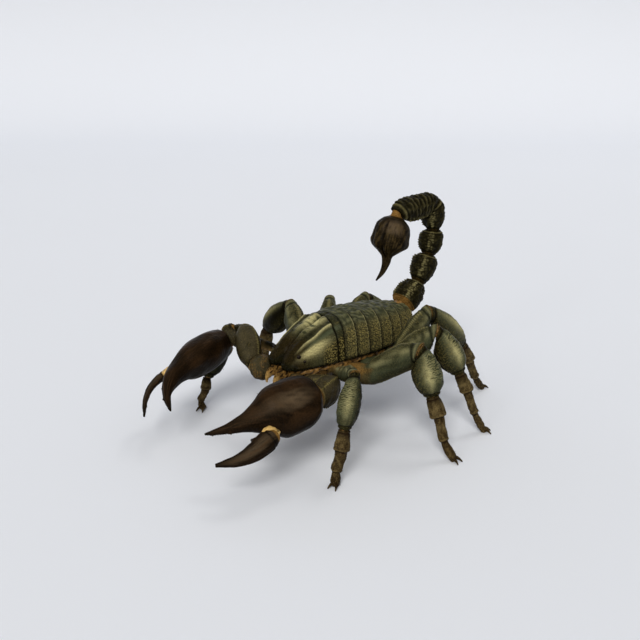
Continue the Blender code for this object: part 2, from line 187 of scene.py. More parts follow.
def boxy(angle, corner):
    """Cosine and sine of a rounded box: a circle where corner is 2, and boxier above that."""
    waves = (np.cos(angle), np.sin(angle))
    return [np.sign(wave) * np.abs(wave) ** (2.0 / corner) for wave in waves]


def turned(angle):
    """An angle brought to between half a turn back and half a turn on."""
    return (angle + math.pi) % TAU - math.pi


def chance(x, y, seed):
    """A number from 0 to 1 for each pair of whole numbers."""
    mixed = (x * 374761393 + y * 668265263 + seed * 974634777) & 0xFFFFFFFF
    mixed = ((mixed ^ (mixed >> 13)) * 1274126177) & 0xFFFFFFFF
    return (mixed ^ (mixed >> 16)) / 4294967295.0


def pebbles(x, y, pitch, seed, around=None):
    """Heights from 0 to 1 of rounded granules; around is the number of them in a full turn of y."""
    x, y = np.broadcast_arrays(x / pitch, y / pitch)
    column = np.floor(x).astype(np.int64)
    row = np.floor(y).astype(np.int64)
    best = np.zeros(x.shape)
    for right in (-1, 0, 1):
        for up in (-1, 0, 1):
            i = column + right
            j = row + up
            key = j % around if around else j
            from_x = x - i - 0.5 - 0.95 * (chance(i, key, seed) - 0.5)
            from_y = y - j - 0.5 - 0.95 * (chance(i, key, seed + 1) - 0.5)
            radius = 0.3 + 0.28 * chance(i, key, seed + 2)
            best = np.maximum(best, 1.0 - (from_x ** 2 + from_y ** 2) / radius ** 2)
    return np.sqrt(np.clip(best, 0.0, 1.0))


def drift(points, size, seed):
    """Smooth wandering between about -1 and 1, in features about size across."""
    draw = np.random.default_rng(seed)
    total = 0.0
    waves = 7
    for _ in range(waves):
        way = draw.normal(size=3)
        way /= np.linalg.norm(way)
        rate = TAU / size * draw.uniform(0.6, 1.5)
        total = total + np.sin(points @ way * rate + draw.uniform(0.0, TAU))
    return total / math.sqrt(waves)


def smooth_rows(keys, rows, at, tight=False):
    """Rows of numbers at keys, joined by smooth curves and read at the places at."""
    keys = np.asarray(keys, float)
    rows = np.asarray(rows, float)
    step = np.diff(keys)
    slope = np.diff(rows, axis=0) / step[:, None]
    tangent = np.empty_like(rows)
    tangent[0] = slope[0]
    tangent[-1] = slope[-1]
    before = step[:-1, None]
    after = step[1:, None]
    tangent[1:-1] = (slope[:-1] * after + slope[1:] * before) / (before + after)
    if tight:
        turn = slope[:-1] * slope[1:] <= 0.0
        tangent[1:-1][turn] = 0.0
        limit = 3.0 * np.minimum(np.abs(slope[:-1]), np.abs(slope[1:]))
        tangent[1:-1] = np.clip(tangent[1:-1], -limit, limit)
    at = np.clip(at, keys[0], keys[-1])
    place = np.clip(np.searchsorted(keys, at, side="right") - 1, 0, len(step) - 1)
    wide = step[place][:, None]
    t = ((at - keys[place]) / step[place])[:, None]
    return (
        rows[place] * (2 * t ** 3 - 3 * t ** 2 + 1) + tangent[place] * wide * (t ** 3 - 2 * t ** 2 + t)
        + rows[place + 1] * (3 * t ** 2 - 2 * t ** 3) + tangent[place + 1] * wide * (t ** 3 - t ** 2)
    )


# ---------------------------------------------------------------- reading the fixed frame
# the cosine above which two neighbouring triangles lie in one flat face
SAME_FACE = 0.999995


def rows_of(items, field, kind=float):
    """One row of three numbers for each of a mesh's corners or triangles."""
    flat = np.empty(len(items) * 3, kind)
    items.foreach_get(field, flat)
    return flat.reshape(-1, 3)


def corners_of(node):
    """Corners of a CAD node in mm, each once, and its triangles."""
    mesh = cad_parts[node].data
    points = rows_of(mesh.vertices, "co") / MM
    _, first, same = np.unique(np.round(points, 3), axis=0, return_index=True, return_inverse=True)
    mesh.calc_loop_triangles()
    triangles = rows_of(mesh.loop_triangles, "vertices", int)
    return points[first], same.reshape(-1)[triangles]


def walk(edges):
    """The corners of a closed loop of edges, in order."""
    near = {}
    for a, b in edges:
        near.setdefault(a, []).append(b)
        near.setdefault(b, []).append(a)
    loop = [min(near)]
    while True:
        ahead = [v for v in near[loop[-1]] if v not in loop]
        if not ahead:
            return loop
        loop.append(ahead[0])


def flat_caps(points, triangles):
    """The two end faces of a tube, each as an ordered loop of corners, and all the tube's edges."""
    first, second, third = (points[triangles[:, n]] for n in range(3))
    normals = np.cross(second - first, third - first)
    normals /= np.linalg.norm(normals, axis=1)[:, None]
    touching = {}
    for number, corner in enumerate(triangles.tolist()):
        for a, b in zip(corner, corner[1:] + corner[:1]):
            touching.setdefault((min(a, b), max(a, b)), []).append(number)
    group = list(range(len(triangles)))

    def head(i):
        """The triangle that stands for the flat face that triangle i is part of."""
        while group[i] != i:
            i = group[i]
        return i

    for pair in touching.values():
        if len(pair) == 2 and normals[pair[0]] @ normals[pair[1]] > SAME_FACE:
            group[head(pair[0])] = head(pair[1])
    faces = {}
    for i in range(len(triangles)):
        faces.setdefault(head(i), []).append(i)
    loops = []
    for members in sorted(faces.values(), key=len)[-2:]:
        inside = set(members)
        rim = [edge for edge, owners in touching.items() if len(inside.intersection(owners)) == 1]
        loops.append(walk(rim))
    return loops, set(touching)


def rings_of(node, start):
    """Rings of corners along a tube, from the end whose centre has the lower start . place."""
    points, triangles = corners_of(node)
    caps, edges = flat_caps(points, triangles)
    caps.sort(key=lambda loop: float(points[loop].mean(0) @ np.asarray(start, float)))
    near = {}
    for a, b in edges:
        near.setdefault(a, set()).add(b)
        near.setdefault(b, set()).add(a)
    found = [points[caps[0]]]
    here = set(caps[0])
    seen = set(here)
    while here != set(caps[1]):
        here = set().union(*(near[v] for v in here)) - seen
        if len(here) != len(caps[0]):
            raise RuntimeError("%s is not a plain tube: a ring has %d corners" % (node, len(here)))
        seen |= here
        if here == set(caps[1]):
            loop = points[caps[1]]
        else:
            loop = points[walk([(a, b) for a in sorted(here) for b in sorted(near[a] & here) if a < b])]
        choices = [np.roll(way, shift, axis=0) for way in (loop, loop[::-1]) for shift in range(len(loop))]
        found.append(min(choices, key=lambda one: float(((one - found[-1]) ** 2).sum())))
    return np.array(found)


class Limb:
    """A tube as the ovals it passes through: centres, and the two half axes of each."""

    def __init__(self, centres, across, up):
        self.centres = np.asarray(centres, float)
        self.across = np.asarray(across, float)
        self.up = np.asarray(up, float)
        steps = np.linalg.norm(np.diff(self.centres, axis=0), axis=1)
        self.keys = np.concatenate([[0.0], np.cumsum(np.maximum(steps, 0.01))])
        self.length = self.keys[-1]
        both = np.linalg.norm(self.across, axis=1) + np.linalg.norm(self.up, axis=1)
        self.girth = 0.5 * TAU * float(np.median(both))

    def at(self, place):
        """Centres and half axes at places along the tube, in mm from its start."""
        return (
            smooth_rows(self.keys, self.centres, place),
            smooth_rows(self.keys, self.across, place, tight=True),
            smooth_rows(self.keys, self.up, place, tight=True),
        )

    def spot(self, place):
        """The centre at one place along the tube."""
        return self.at(np.array([place]))[0][0]

    def spots(self, count):
        """Centres evenly spread along the tube."""
        return self.at(np.linspace(0.0, self.length, count))[0]

    def facing(self, place, point):
        """The angle round the tube, at a place along it, that looks towards a point."""
        centre, across, up = (value[0] for value in self.at(np.array([place])))
        way = np.asarray(point, float) - centre
        return math.atan2(way @ up / (up @ up), way @ across / (across @ across))


def limb_of(node, start, side):
    """The limb of a CAD node; side is the direction that its across axes lean towards."""
    rings = rings_of(node, start)
    count = rings.shape[1]
    turn = TAU * np.arange(count) / count
    centres = rings.mean(1)
    first = 2.0 / count * np.einsum("rnk,n->rk", rings, np.cos(turn))
    second = 2.0 / count * np.einsum("rnk,n->rk", rings, np.sin(turn))
    side = np.asarray(side, float)
    phase = np.arctan2(second @ side, first @ side)[:, None]
    across = first * np.cos(phase) + second * np.sin(phase)
    up = second * np.cos(phase) - first * np.sin(phase)
    ahead = np.gradient(centres, axis=0)
    flip = np.sign(np.einsum("rk,rk->r", np.cross(across, up), ahead))
    return Limb(centres, across, up * flip[:, None])


# ---------------------------------------------------------------- shader trees
class Socket:
    """One output in a shader tree. Arithmetic on it adds Math nodes."""

    def __init__(self, paint, link):
        self.paint = paint
        self.link = link

    def math(self, operation, first, second):
        """A Math node on two sockets or numbers."""
        return self.paint.node("ShaderNodeMath", {"operation": operation}, {0: first, 1: second})

    def __add__(self, other):
        return self.math("ADD", self, other)

    def __rsub__(self, other):
        return self.math("SUBTRACT", other, self)

    def __mul__(self, other):
        return self.math("MULTIPLY", self, other)

    __radd__ = __add__

    def between(self, low, high):
        """0 below low, 1 above high, smooth between; low may be the higher one."""
        return self.paint.node(
            "ShaderNodeMapRange", {"interpolation_type": "SMOOTHSTEP"},
            {"Value": self, "From Min": low, "From Max": high},
        )


class Paint:
    """The shader tree of one material."""

    def __init__(self, name):
        self.material = bpy.data.materials.new(name)
        self.material.use_nodes = True
        self.tree = self.material.node_tree
        self.shader = self.tree.nodes["Principled BSDF"]
        place = self.node("ShaderNodeTexCoord", output="Object")
        self.place = self.node("ShaderNodeVectorMath", {"operation": "SCALE"}, {0: place, "Scale": 1.0 / MM})

    def feed(self, socket, value):
        """Link a socket of the tree, or set it to a number or colour."""
        if isinstance(value, Socket):
            self.tree.links.new(value.link, socket)
        else:
            socket.default_value = value

    def node(self, kind, settings=None, sockets=None, output=0):
        """A new node with its settings and inputs; gives one of its outputs."""
        made = self.tree.nodes.new(kind)
        for key, value in (settings or {}).items():
            setattr(made, key, value)
        for key, value in (sockets or {}).items():
            self.feed(made.inputs[key], value)
        return Socket(self, made.outputs[output])

    def mask(self, name):
        """One of the masks that the mesh carries."""
        return self.node("ShaderNodeAttribute", {"attribute_name": name}, output="Fac")

    def noise(self, scale, detail, roughness):
        """Cloudy noise; scale is how many clouds there are in a millimetre."""
        return self.node(
            "ShaderNodeTexNoise", None,
            {"Vector": self.place, "Scale": scale, "Detail": detail, "Roughness": roughness},
        )

    def cells(self, scale):
        """Distance from the middle of small cells, which reads as pits."""
        return self.node("ShaderNodeTexVoronoi", None, {"Vector": self.place, "Scale": scale})

    def mix(self, factor, low, high):
        """From colour low to colour high."""
        low, high = (value if isinstance(value, Socket) else (*value, 1.0) for value in (low, high))
        return self.node("ShaderNodeMix", {"data_type": "RGBA"}, {0: factor, 6: low, 7: high}, output=2)

    def finish(self, base, roughness, height, depth, **constants):
        """Feed the shader: depth is the height of the bumps in mm, constants are plain numbers."""
        bumps = {"Strength": 1.0, "Distance": depth * MM, "Height": height}
        normal = self.node("ShaderNodeBump", None, bumps)
        self.feed(self.shader.inputs["Base Color"], base)
        self.feed(self.shader.inputs["Roughness"], roughness)
        self.feed(self.shader.inputs["Normal"], normal)
        for key, value in constants.items():
            self.shader.inputs[key.replace("_", " ")].default_value = value
        return self.material


def shaded(colour, part):
    """A colour at part of its strength."""
    return tuple(part * value for value in colour)


def chitin(name, dark, main, pale, speck, slate_and_sheen, gloss, bump_depth=0.035, shine=0.025, mottle=0.06):
    """Horny shell: painted shade in its hollows and pits, pale ridges and painted highlights, speckled
    granules, blue-grey places with painted sheen, and amber joint skin.
    """
    amber_colour = colours().amber
    paint = Paint(name)
    broad = paint.noise(0.32, 5.0, 0.62)
    fine = paint.noise(2.6, 6.0, 0.72)
    grit = paint.noise(7.0, 4.0, 0.7)
    pits = paint.cells(3.4)
    lift = paint.mask("lift")
    grain = paint.mask("grain")
    amber = paint.mask("amber")

    base = paint.mix((broad * 0.3 + fine * 0.7).between(0.5 - mottle, 0.5 + mottle), dark, main)
    base = paint.mix((fine * 0.6 + grit * 0.4).between(0.56, 0.70) * 0.45, base, pale)
    # blue-grey and teal places, and a painted sheen where a face looks towards the light
    base = paint.mix(paint.mask("slate_and_sheen") * (fine * 0.7 + broad * 0.3 + 0.25), base, slate_and_sheen)
    # pale marks, and painted highlights
    base = paint.mix(paint.mask("pale") * fine.between(0.18, 0.56) * 0.85, base, pale)
    specks = (lift * 0.95 + grit * 0.45 + fine * 0.25).between(0.82, 1.02)
    base = paint.mix(specks * grain, base, speck)
    # painted shade: the lower the relief, the darker the colour
    hollow_shade = (1.0 - lift).between(0.55, 0.95)
    base = paint.mix(hollow_shade * 0.85, base, dark)
    # painted shade in the pits of granular places
    pores = pits.between(0.22, 0.05) * grain
    base = paint.mix(pores * 0.7, base, dark)
    skin = paint.mix(fine.between(0.35, 0.62), shaded(amber_colour, 0.35), amber_colour)
    base = paint.mix(amber, base, skin)
    # dark marks, and painted shade on undersides, edges and grooves
    base = paint.mix(paint.mask("dark_and_shade"), base, dark)
    rough = gloss + fine * 0.14 + grain * 0.14 + hollow_shade * 0.15
    height = fine * 0.35 + grit * 0.25 + pits * 0.4 * grain
    return paint.finish(base, rough, height, bump_depth, Coat_Weight=0.0, IOR=1.5, Specular_IOR_Level=shine)


def joint_skin(name, main, depth):
    """Soft, folded skin between two joints, with painted shade in its creases."""
    paint = Paint(name)
    broad = paint.noise(0.6, 4.0, 0.6)
    fine = paint.noise(3.0, 5.0, 0.7)
    folds = paint.mask("lift")
    base = paint.mix((fine * 0.5 + broad * 0.5).between(0.34, 0.58), shaded(main, 0.50), main)
    # painted shade in the low parts of the folds
    base = paint.mix((1.0 - folds).between(0.45, 0.9) * 0.85, base, shaded(main, 0.10))
    # painted shade where the skin lies deep between two rings
    base = paint.mix(paint.mask("dark_and_shade"), base, shaded(main, 0.03))
    rough = 0.34 + fine * 0.25
    return paint.finish(
        base, rough, fine, depth, Coat_Weight=0.05, Coat_Roughness=0.3, Specular_IOR_Level=0.3
    )


def eye_gloss(name):
    """Smooth black of the eyes."""
    paint = Paint(name)
    haze = paint.noise(1.5, 3.0, 0.5)
    base = paint.mix(haze, colours().eye_black, colours().claw_brown)
    return paint.finish(base, 0.12 + haze * 0.05, haze, 0.002, Specular_IOR_Level=0.14)


def finish_of(slot):
    """The material of a slot, made on first use."""
    name = "scorpion_" + slot
    made = bpy.data.materials.get(name)
    if made:
        return made
    c = colours()
    if slot == "shell":
        return chitin(
            name, c.shell_dark, c.shell_olive, c.shell_pale, c.shell_speck, c.shell_slate, gloss=0.22
        )
    if slot == "claw":
        return chitin(
            name, c.claw_dark, c.claw_brown, c.claw_red, c.claw_red, c.claw_highlight,
            gloss=0.26, bump_depth=0.02, shine=0.03, mottle=0.16,
        )
    if slot == "arm":
        return chitin(name, c.shell_dark, c.arm_brown, c.shell_pale, c.shell_speck, c.arm_highlight, gloss=0.26)
    if slot == "tarsus":
        return chitin(
            name, c.claw_brown, c.tarsus_tan, c.tarsus_pale, c.tarsus_pale, c.shell_olive, gloss=0.36
        )
    if slot == "sting":
        return chitin(name, c.claw_dark, c.sting_brown, c.tarsus_tan, c.tarsus_tan, c.claw_highlight, gloss=0.24)
    if slot == "underside":
        return chitin(name, c.claw_brown, c.tarsus_tan, c.tarsus_pale, c.amber, c.shell_olive, gloss=0.40)
    if slot == "mouth":
        return chitin(
            name, c.claw_brown, c.amber, c.amber_pale, c.tarsus_pale, c.amber, gloss=0.34, mottle=0.12
        )
    if slot == "joint_skin":
        return joint_skin(name, c.amber, 0.05)
    if slot == "finger_skin":
        return joint_skin(name, c.amber_pale, 0.03)
    return eye_gloss(name)


# ---------------------------------------------------------------- meshes
# rings that round off each end of a tube, and the fewest rows and columns of a tube
CAP_ROWS = 7
LEAST_ROWS = 24


def add_object(name, data):
    """A new object in the scene."""
    made = bpy.data.objects.new(name, data)
    bpy.context.scene.collection.objects.link(made)
    return made


def add_piece(name, points, faces, slot, masks=None, replaces=(), row_slot=None):
    """A piece of the model from corners in mm, with its masks as attributes; none goes below the floor."""
    points = np.array(points, float)
    points[:, 2] = np.maximum(points[:, 2], 0.0)
    title = "%s_%s" % (name, slot) if replaces else name
    mesh = bpy.data.meshes.new(title)
    mesh.from_pydata((points * MM).tolist(), [], faces)
    mesh.polygons.foreach_set("use_smooth", np.ones(len(mesh.polygons), bool))
    for mask, plain in MASKS.items():
        values = np.broadcast_to((masks or {}).get(mask, plain), len(points))
        made = mesh.attributes.new(mask, "FLOAT", "POINT")
        made.data.foreach_set("value", unit(values).astype(np.float32))
    mesh.materials.append(finish_of(slot))
    piece = add_object(title, mesh)
    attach(piece, "root")
    if replaces:
        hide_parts(*replaces)
    row_slot or slot in ROW_SLOTS
    return piece


class Surface:
    """What a relief function is given: places on a tube, in mm and in shares of its length."""

    def __init__(self, limb, along, angle, points):
        self.limb = limb
        self.mm = along[:, None]
        self.share = along[:, None] / limb.length
        self.angle = angle[None, :]
        self.points = points

    def granules(self, pitch, seed):
        """Rounded granules all over the tube."""
        around = max(6, round(self.limb.girth / pitch))
        return pebbles(self.mm, self.angle / TAU * around * pitch, pitch, seed, around)

    def keel(self, angle, width):
        """A line along the tube at an angle round it; the width is in radians."""
        return hill(turned(self.angle - angle), 0.0, width)

    def ring(self, share, width):
        """A line round the tube at a share of its length."""
        return hill(self.share, share, width)

    def stretch(self, start, full, waning, end):
        """1 along the middle of the tube, fading to 0 from full back to start and from waning on to end."""
        return flow(self.share, start, full) * (1.0 - flow(self.share, waning, end))

    def beads(self, pitch, middle=0.55):
        """A row of beads along the tube, each up to 1 high."""
        return middle + (1.0 - middle) * np.sin(TAU * self.mm / pitch)


def tube_points(limb, relief=None, corner=2.0, domes=(0.12, 0.12), step=None, squeeze=None):
    """Corners, faces and masks of a closed tube.

    corner above 2 makes its section boxier, domes are how far its ends bulge
    in mm, and squeeze gives two factors for the half axes at each share.
    """
    step = step or sizes().mesh_step
    rows = max(LEAST_ROWS, int(limb.length / step))
    columns = max(LEAST_ROWS, int(limb.girth / step))
    along = np.linspace(0.0, limb.length, rows)
    angle = TAU * np.arange(columns) / columns
    rounding = 0.5 * math.pi * np.arange(1, CAP_ROWS) / CAP_ROWS
    rise = np.sin(rounding)
    fall = np.cos(rounding)
    places = np.concatenate([np.zeros(CAP_ROWS - 1), along, np.full(CAP_ROWS - 1, limb.length)])
    spread = np.concatenate([fall[::-1], np.ones(rows), fall])
    push = np.concatenate([-domes[0] * rise[::-1], np.zeros(rows), domes[1] * rise])
    centre, across, up = limb.at(places)
    ahead = np.gradient(smooth_rows(limb.keys, limb.centres, along), axis=0)
    ahead /= np.linalg.norm(ahead, axis=1)[:, None]
    ahead = ahead[np.clip(np.arange(1 - CAP_ROWS, rows + CAP_ROWS - 1), 0, rows - 1)]
    centre = centre + ahead * push[:, None]
    if squeeze is not None:
        wide, high = squeeze(places / limb.length)
        across = across * np.asarray(wide)[:, None]
        up = up * np.asarray(high)[:, None]
    c, s = boxy(angle, corner)
    reach = across[:, None, :] * c[None, :, None] + up[:, None, :] * s[None, :, None]
    points = centre[:, None, :] + reach * spread[:, None, None]
    masks = {}
    if relief is not None:
        raised, masks = relief(Surface(limb, places, angle, points))
        side = np.roll(points, -1, axis=1) - np.roll(points, 1, axis=1)
        normal = np.cross(side, np.gradient(points, axis=0))
        normal = normal / np.maximum(np.linalg.norm(normal, axis=2, keepdims=True), 1e-9)
        sense = np.sign(np.einsum("rck,rck->rc", normal, reach))[..., None]
        points = points + normal * sense * (raised * spread[:, None] ** 2)[..., None]
    count = len(places)
    first_pole = centre[0] - ahead[0] * domes[0] * (1.0 - rise[-1])
    last_pole = centre[-1] + ahead[-1] * domes[1] * (1.0 - rise[-1])
    corners = np.concatenate([points.reshape(-1, 3), [first_pole, last_pole]])
    flat = {}
    for name, values in masks.items():
        values = np.broadcast_to(values, (count, columns))
        flat[name] = np.concatenate([values.reshape(-1), [values[0].mean(), values[-1].mean()]])
    return corners, closed_tube_faces(count, columns), flat


def closed_tube_faces(rows, columns):
    """Faces of rings of corners and two poles; the poles are the last two corners."""
    i = np.arange(rows - 1)[:, None] * columns
    j = np.arange(columns)[None, :]
    k = (j + 1) % columns
    faces = np.stack([i + j, i + k, i + columns + k, i + columns + j], axis=-1).reshape(-1, 4).tolist()
    pole = rows * columns
    last = pole - columns
    faces += [[pole, (n + 1) % columns, n] for n in range(columns)]
    faces += [[pole + 1, last + n, last + (n + 1) % columns] for n in range(columns)]
    return faces


def add_tube(name, limb, slot, relief=None, replaces=(), row_slot=None, **shape):
    """A closed tube as a piece."""
    points, faces, masks = tube_points(limb, relief, **shape)
    return add_piece(name, points, faces, slot, masks, replaces, row_slot)


def add_tubes(name, limbs, slot, relief=None, row_slot=None, **shape):
    """Several closed tubes as one piece."""
    points, faces, masks = [], [], {}
    start = 0
    for limb in limbs:
        more, more_faces, more_masks = tube_points(limb, relief, **shape)
        points.append(more)
        faces += [[v + start for v in face] for face in more_faces]
        for key, values in more_masks.items():
            masks.setdefault(key, []).append(values)
        start += len(more)
    masks = {key: np.concatenate(values) for key, values in masks.items()}
    return add_piece(name, np.concatenate(points), faces, slot, masks, (), row_slot)


def round_limb(stations, side=UPRIGHT):
    """A limb from rows of (place, half across, half up)."""
    centres = np.array([row[0] for row in stations], float)
    ahead = np.gradient(centres, axis=0)
    ahead /= np.linalg.norm(ahead, axis=1)[:, None]
    side = np.asarray(side, float)
    across = side - ahead * (ahead @ side)[:, None]
    across /= np.linalg.norm(across, axis=1)[:, None]
    up = np.cross(ahead, across)
    wide = np.array([row[1] for row in stations])[:, None]
    high = np.array([row[2] for row in stations])[:, None]
    return Limb(centres, across * wide, up * high)


def ball(middle, axis, radius, reach, rings, side=UPRIGHT):
    """A ball as a limb along axis; reach is how near its poles the first and last ring lie."""
    stations = []
    for t in np.linspace(-reach, reach, rings):
        girth = radius * math.sqrt(1.0 - t * t)
        stations.append((middle + np.asarray(axis) * radius * t, girth, girth))
    return round_limb(stations, side)


# ---------------------------------------------------------------- trunk
# height of a plate's edge, how boxy its section is, and how far a seam bows forwards, in mm
RIM = 0.55
ROUNDNESS = 2.4
SEAM_BOW = 3.2
# width of a plate's lower face as a share of the upper one
UNDER_SHARE = 0.985
PLATES = ["carapace"] + ["tergite_%d" % number for number in range(1, 8)]


def cut_across(node, y):
    """Half width, lowest and highest z of a node where y is constant."""
    points, triangles = corners_of(node)
    start = points[triangles]
    end = np.roll(start, -1, axis=1)
    over = (start[..., 1] - y) * (end[..., 1] - y) < 0.0
    start = start[over]
    end = end[over]
    place = start + (end - start) * ((y - start[:, 1]) / (end[:, 1] - start[:, 1]))[:, None]
    return float(np.abs(place[:, 0]).max()), float(place[:, 2].min()), float(place[:, 2].max())


def ends_of(node):
    """Foremost and rearmost y of a CAD node."""
    low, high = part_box(node)
    return low.y / MM, high.y / MM


def trunk_rows():
    """y, half width, margin and ridge along the back plates."""
    rows = []
    for node in PLATES:
        front, rear = ends_of(node)
        for share in (0.02, 0.14, 0.26, 0.4, 0.55, 0.7, 0.82) if node == "carapace" else (0.5,):
            y = front + (rear - front) * share
            rows.append([y, *cut_across(node, y)])
    rows[0][1] = 2.0 * rows[1][1] - rows[2][1]
    last = rows[-1]
    before = rows[-2]
    share = (ends_of(PLATES[-1])[1] - last[0]) / (last[0] - before[0])
    rows.append([a + (a - b) * share for a, b in zip(last, before)])
    return np.array(rows)


TRUNK = trunk_rows()
HEAD_Y, TRUNK_END = ends_of("carapace")[0], ends_of("tergite_7")[1]
CENTRE_X = 0.5 * (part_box("carapace")[0].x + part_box("carapace")[1].x) / MM
TRUNK[:, 1] -= abs(CENTRE_X)
EYE_Y = 0.5 * sum(ends_of("eye_median_L"))


def across_trunk(y):
    """Half width, margin height and ridge height at y."""
    y = np.asarray(y, float)
    found = smooth_rows(TRUNK[:, 0], TRUNK[:, 1:], y.reshape(-1), tight=True)
    return (found[:, n].reshape(y.shape) for n in range(3))


def plate(name, front, rear, relief, columns, rows, lift_rear=0.0, sink_front=0.0):
    """A back plate as a closed body: its upper face is shaped by relief, its lower one is flat.

    front and rear give y for a share of the half width, from -1 to 1.
    """
    turn = np.linspace(math.pi, 0.0, columns)
    u, rise = boxy(turn, ROUNDNESS)
    rise[[0, -1]] = 0.0
    share = np.linspace(0.0, 1.0, rows)[:, None]
    y = front(u)[None, :] * (1.0 - share) + rear(u)[None, :] * share
    wide, margin, ridge = across_trunk(y)
    top = np.stack([CENTRE_X + u * wide, y, margin + RIM + (ridge - margin - RIM) * rise], axis=-1)
    arc = np.zeros(y.shape)
    arc[:, 1:] = np.cumsum(np.linalg.norm(np.diff(top, axis=1), axis=2), axis=1)
    arc -= arc[:, columns // 2][:, None]
    raised, masks = relief(u[None, :], share, y, rise[None, :], top, arc)
    raised = raised + lift_rear * flow(share, 0.55, 0.97) * rise ** 0.5
    raised = raised - sink_front * (1.0 - flow(share, 0.0, 0.16))
    normal = np.cross(np.gradient(top, axis=1), np.gradient(top, axis=0))
    normal /= np.maximum(np.linalg.norm(normal, axis=2, keepdims=True), 1e-9)
    top = top + normal * raised[..., None]
    bottom = np.stack([CENTRE_X + u * wide * UNDER_SHARE, y, margin], axis=-1)
    lower = [bottom[0], bottom[-1], bottom[1:-1, 0], bottom[1:-1, -1]]
    points = np.concatenate([top.reshape(-1, 3)] + lower)
    # the lower face of each plate gets painted shade
    below = {**MASKS, "dark_and_shade": 0.6}
    flat = {}
    for key, values in masks.items():
        values = np.broadcast_to(values, y.shape).reshape(-1)
        flat[key] = np.concatenate([values, np.full(len(points) - len(values), below[key])])
    return add_piece(name, points, plate_faces(rows, columns), "shell", flat, (name,))


def plate_faces(rows, columns):
    """Faces of a plate: a grid above, and below it the corners of its front, rear, right and left edges."""
    index = np.arange(rows * columns).reshape(rows, columns)
    counts = np.cumsum([columns, columns, rows - 2])
    marks = np.split(np.arange(2 * (columns + rows - 2)) + rows * columns, counts)
    fore, aft = marks[0], marks[1]
    port = np.concatenate([fore[:1], marks[2], aft[:1]])
    starboard = np.concatenate([fore[-1:], marks[3], aft[-1:]])
    # the upper face, then strips from front to rear across the lower one
    quads = [(index[:-1, :-1], index[:-1, 1:], index[1:, 1:], index[1:, :-1])]
    quads.append((fore[1:-2], aft[1:-2], aft[2:-1], fore[2:-1]))
    faces = [corners for four in quads for corners in np.stack(four, -1).reshape(-1, 4).tolist()]
    # fans that join the lower side edges to the outermost strips
    for line, near, far in ((port, fore[1], aft[1]), (starboard[::-1], aft[-2], fore[-2])):
        apex = np.where(np.arange(rows - 1) < rows // 2, near, far)
        faces += np.stack([line[:-1], line[1:], apex], -1).tolist()
        faces.append([int(line[rows // 2]), int(far), int(near)])
    # the four edges
    for four in (
        (index[0, :-1], fore[:-1], fore[1:], index[0, 1:]),
        (index[-1, :-1], index[-1, 1:], aft[1:], aft[:-1]),
        (index[:-1, 0], index[1:, 0], port[1:], port[:-1]),
        (index[:-1, -1], starboard[:-1], starboard[1:], index[1:, -1]),
    ):
        faces += np.stack(four, -1).tolist()
    return faces


def seam_line(y):
    """The bowed line of a seam: y for a share of the half width."""
    return lambda u: y + SEAM_BOW * (0.45 - u * u)


def seam_places():
    """y of each seam: the sides of a plate's front edge are its foremost corners."""
    return [ends_of(node)[0] + 0.55 * SEAM_BOW - 0.15 for node in PLATES[1:]]


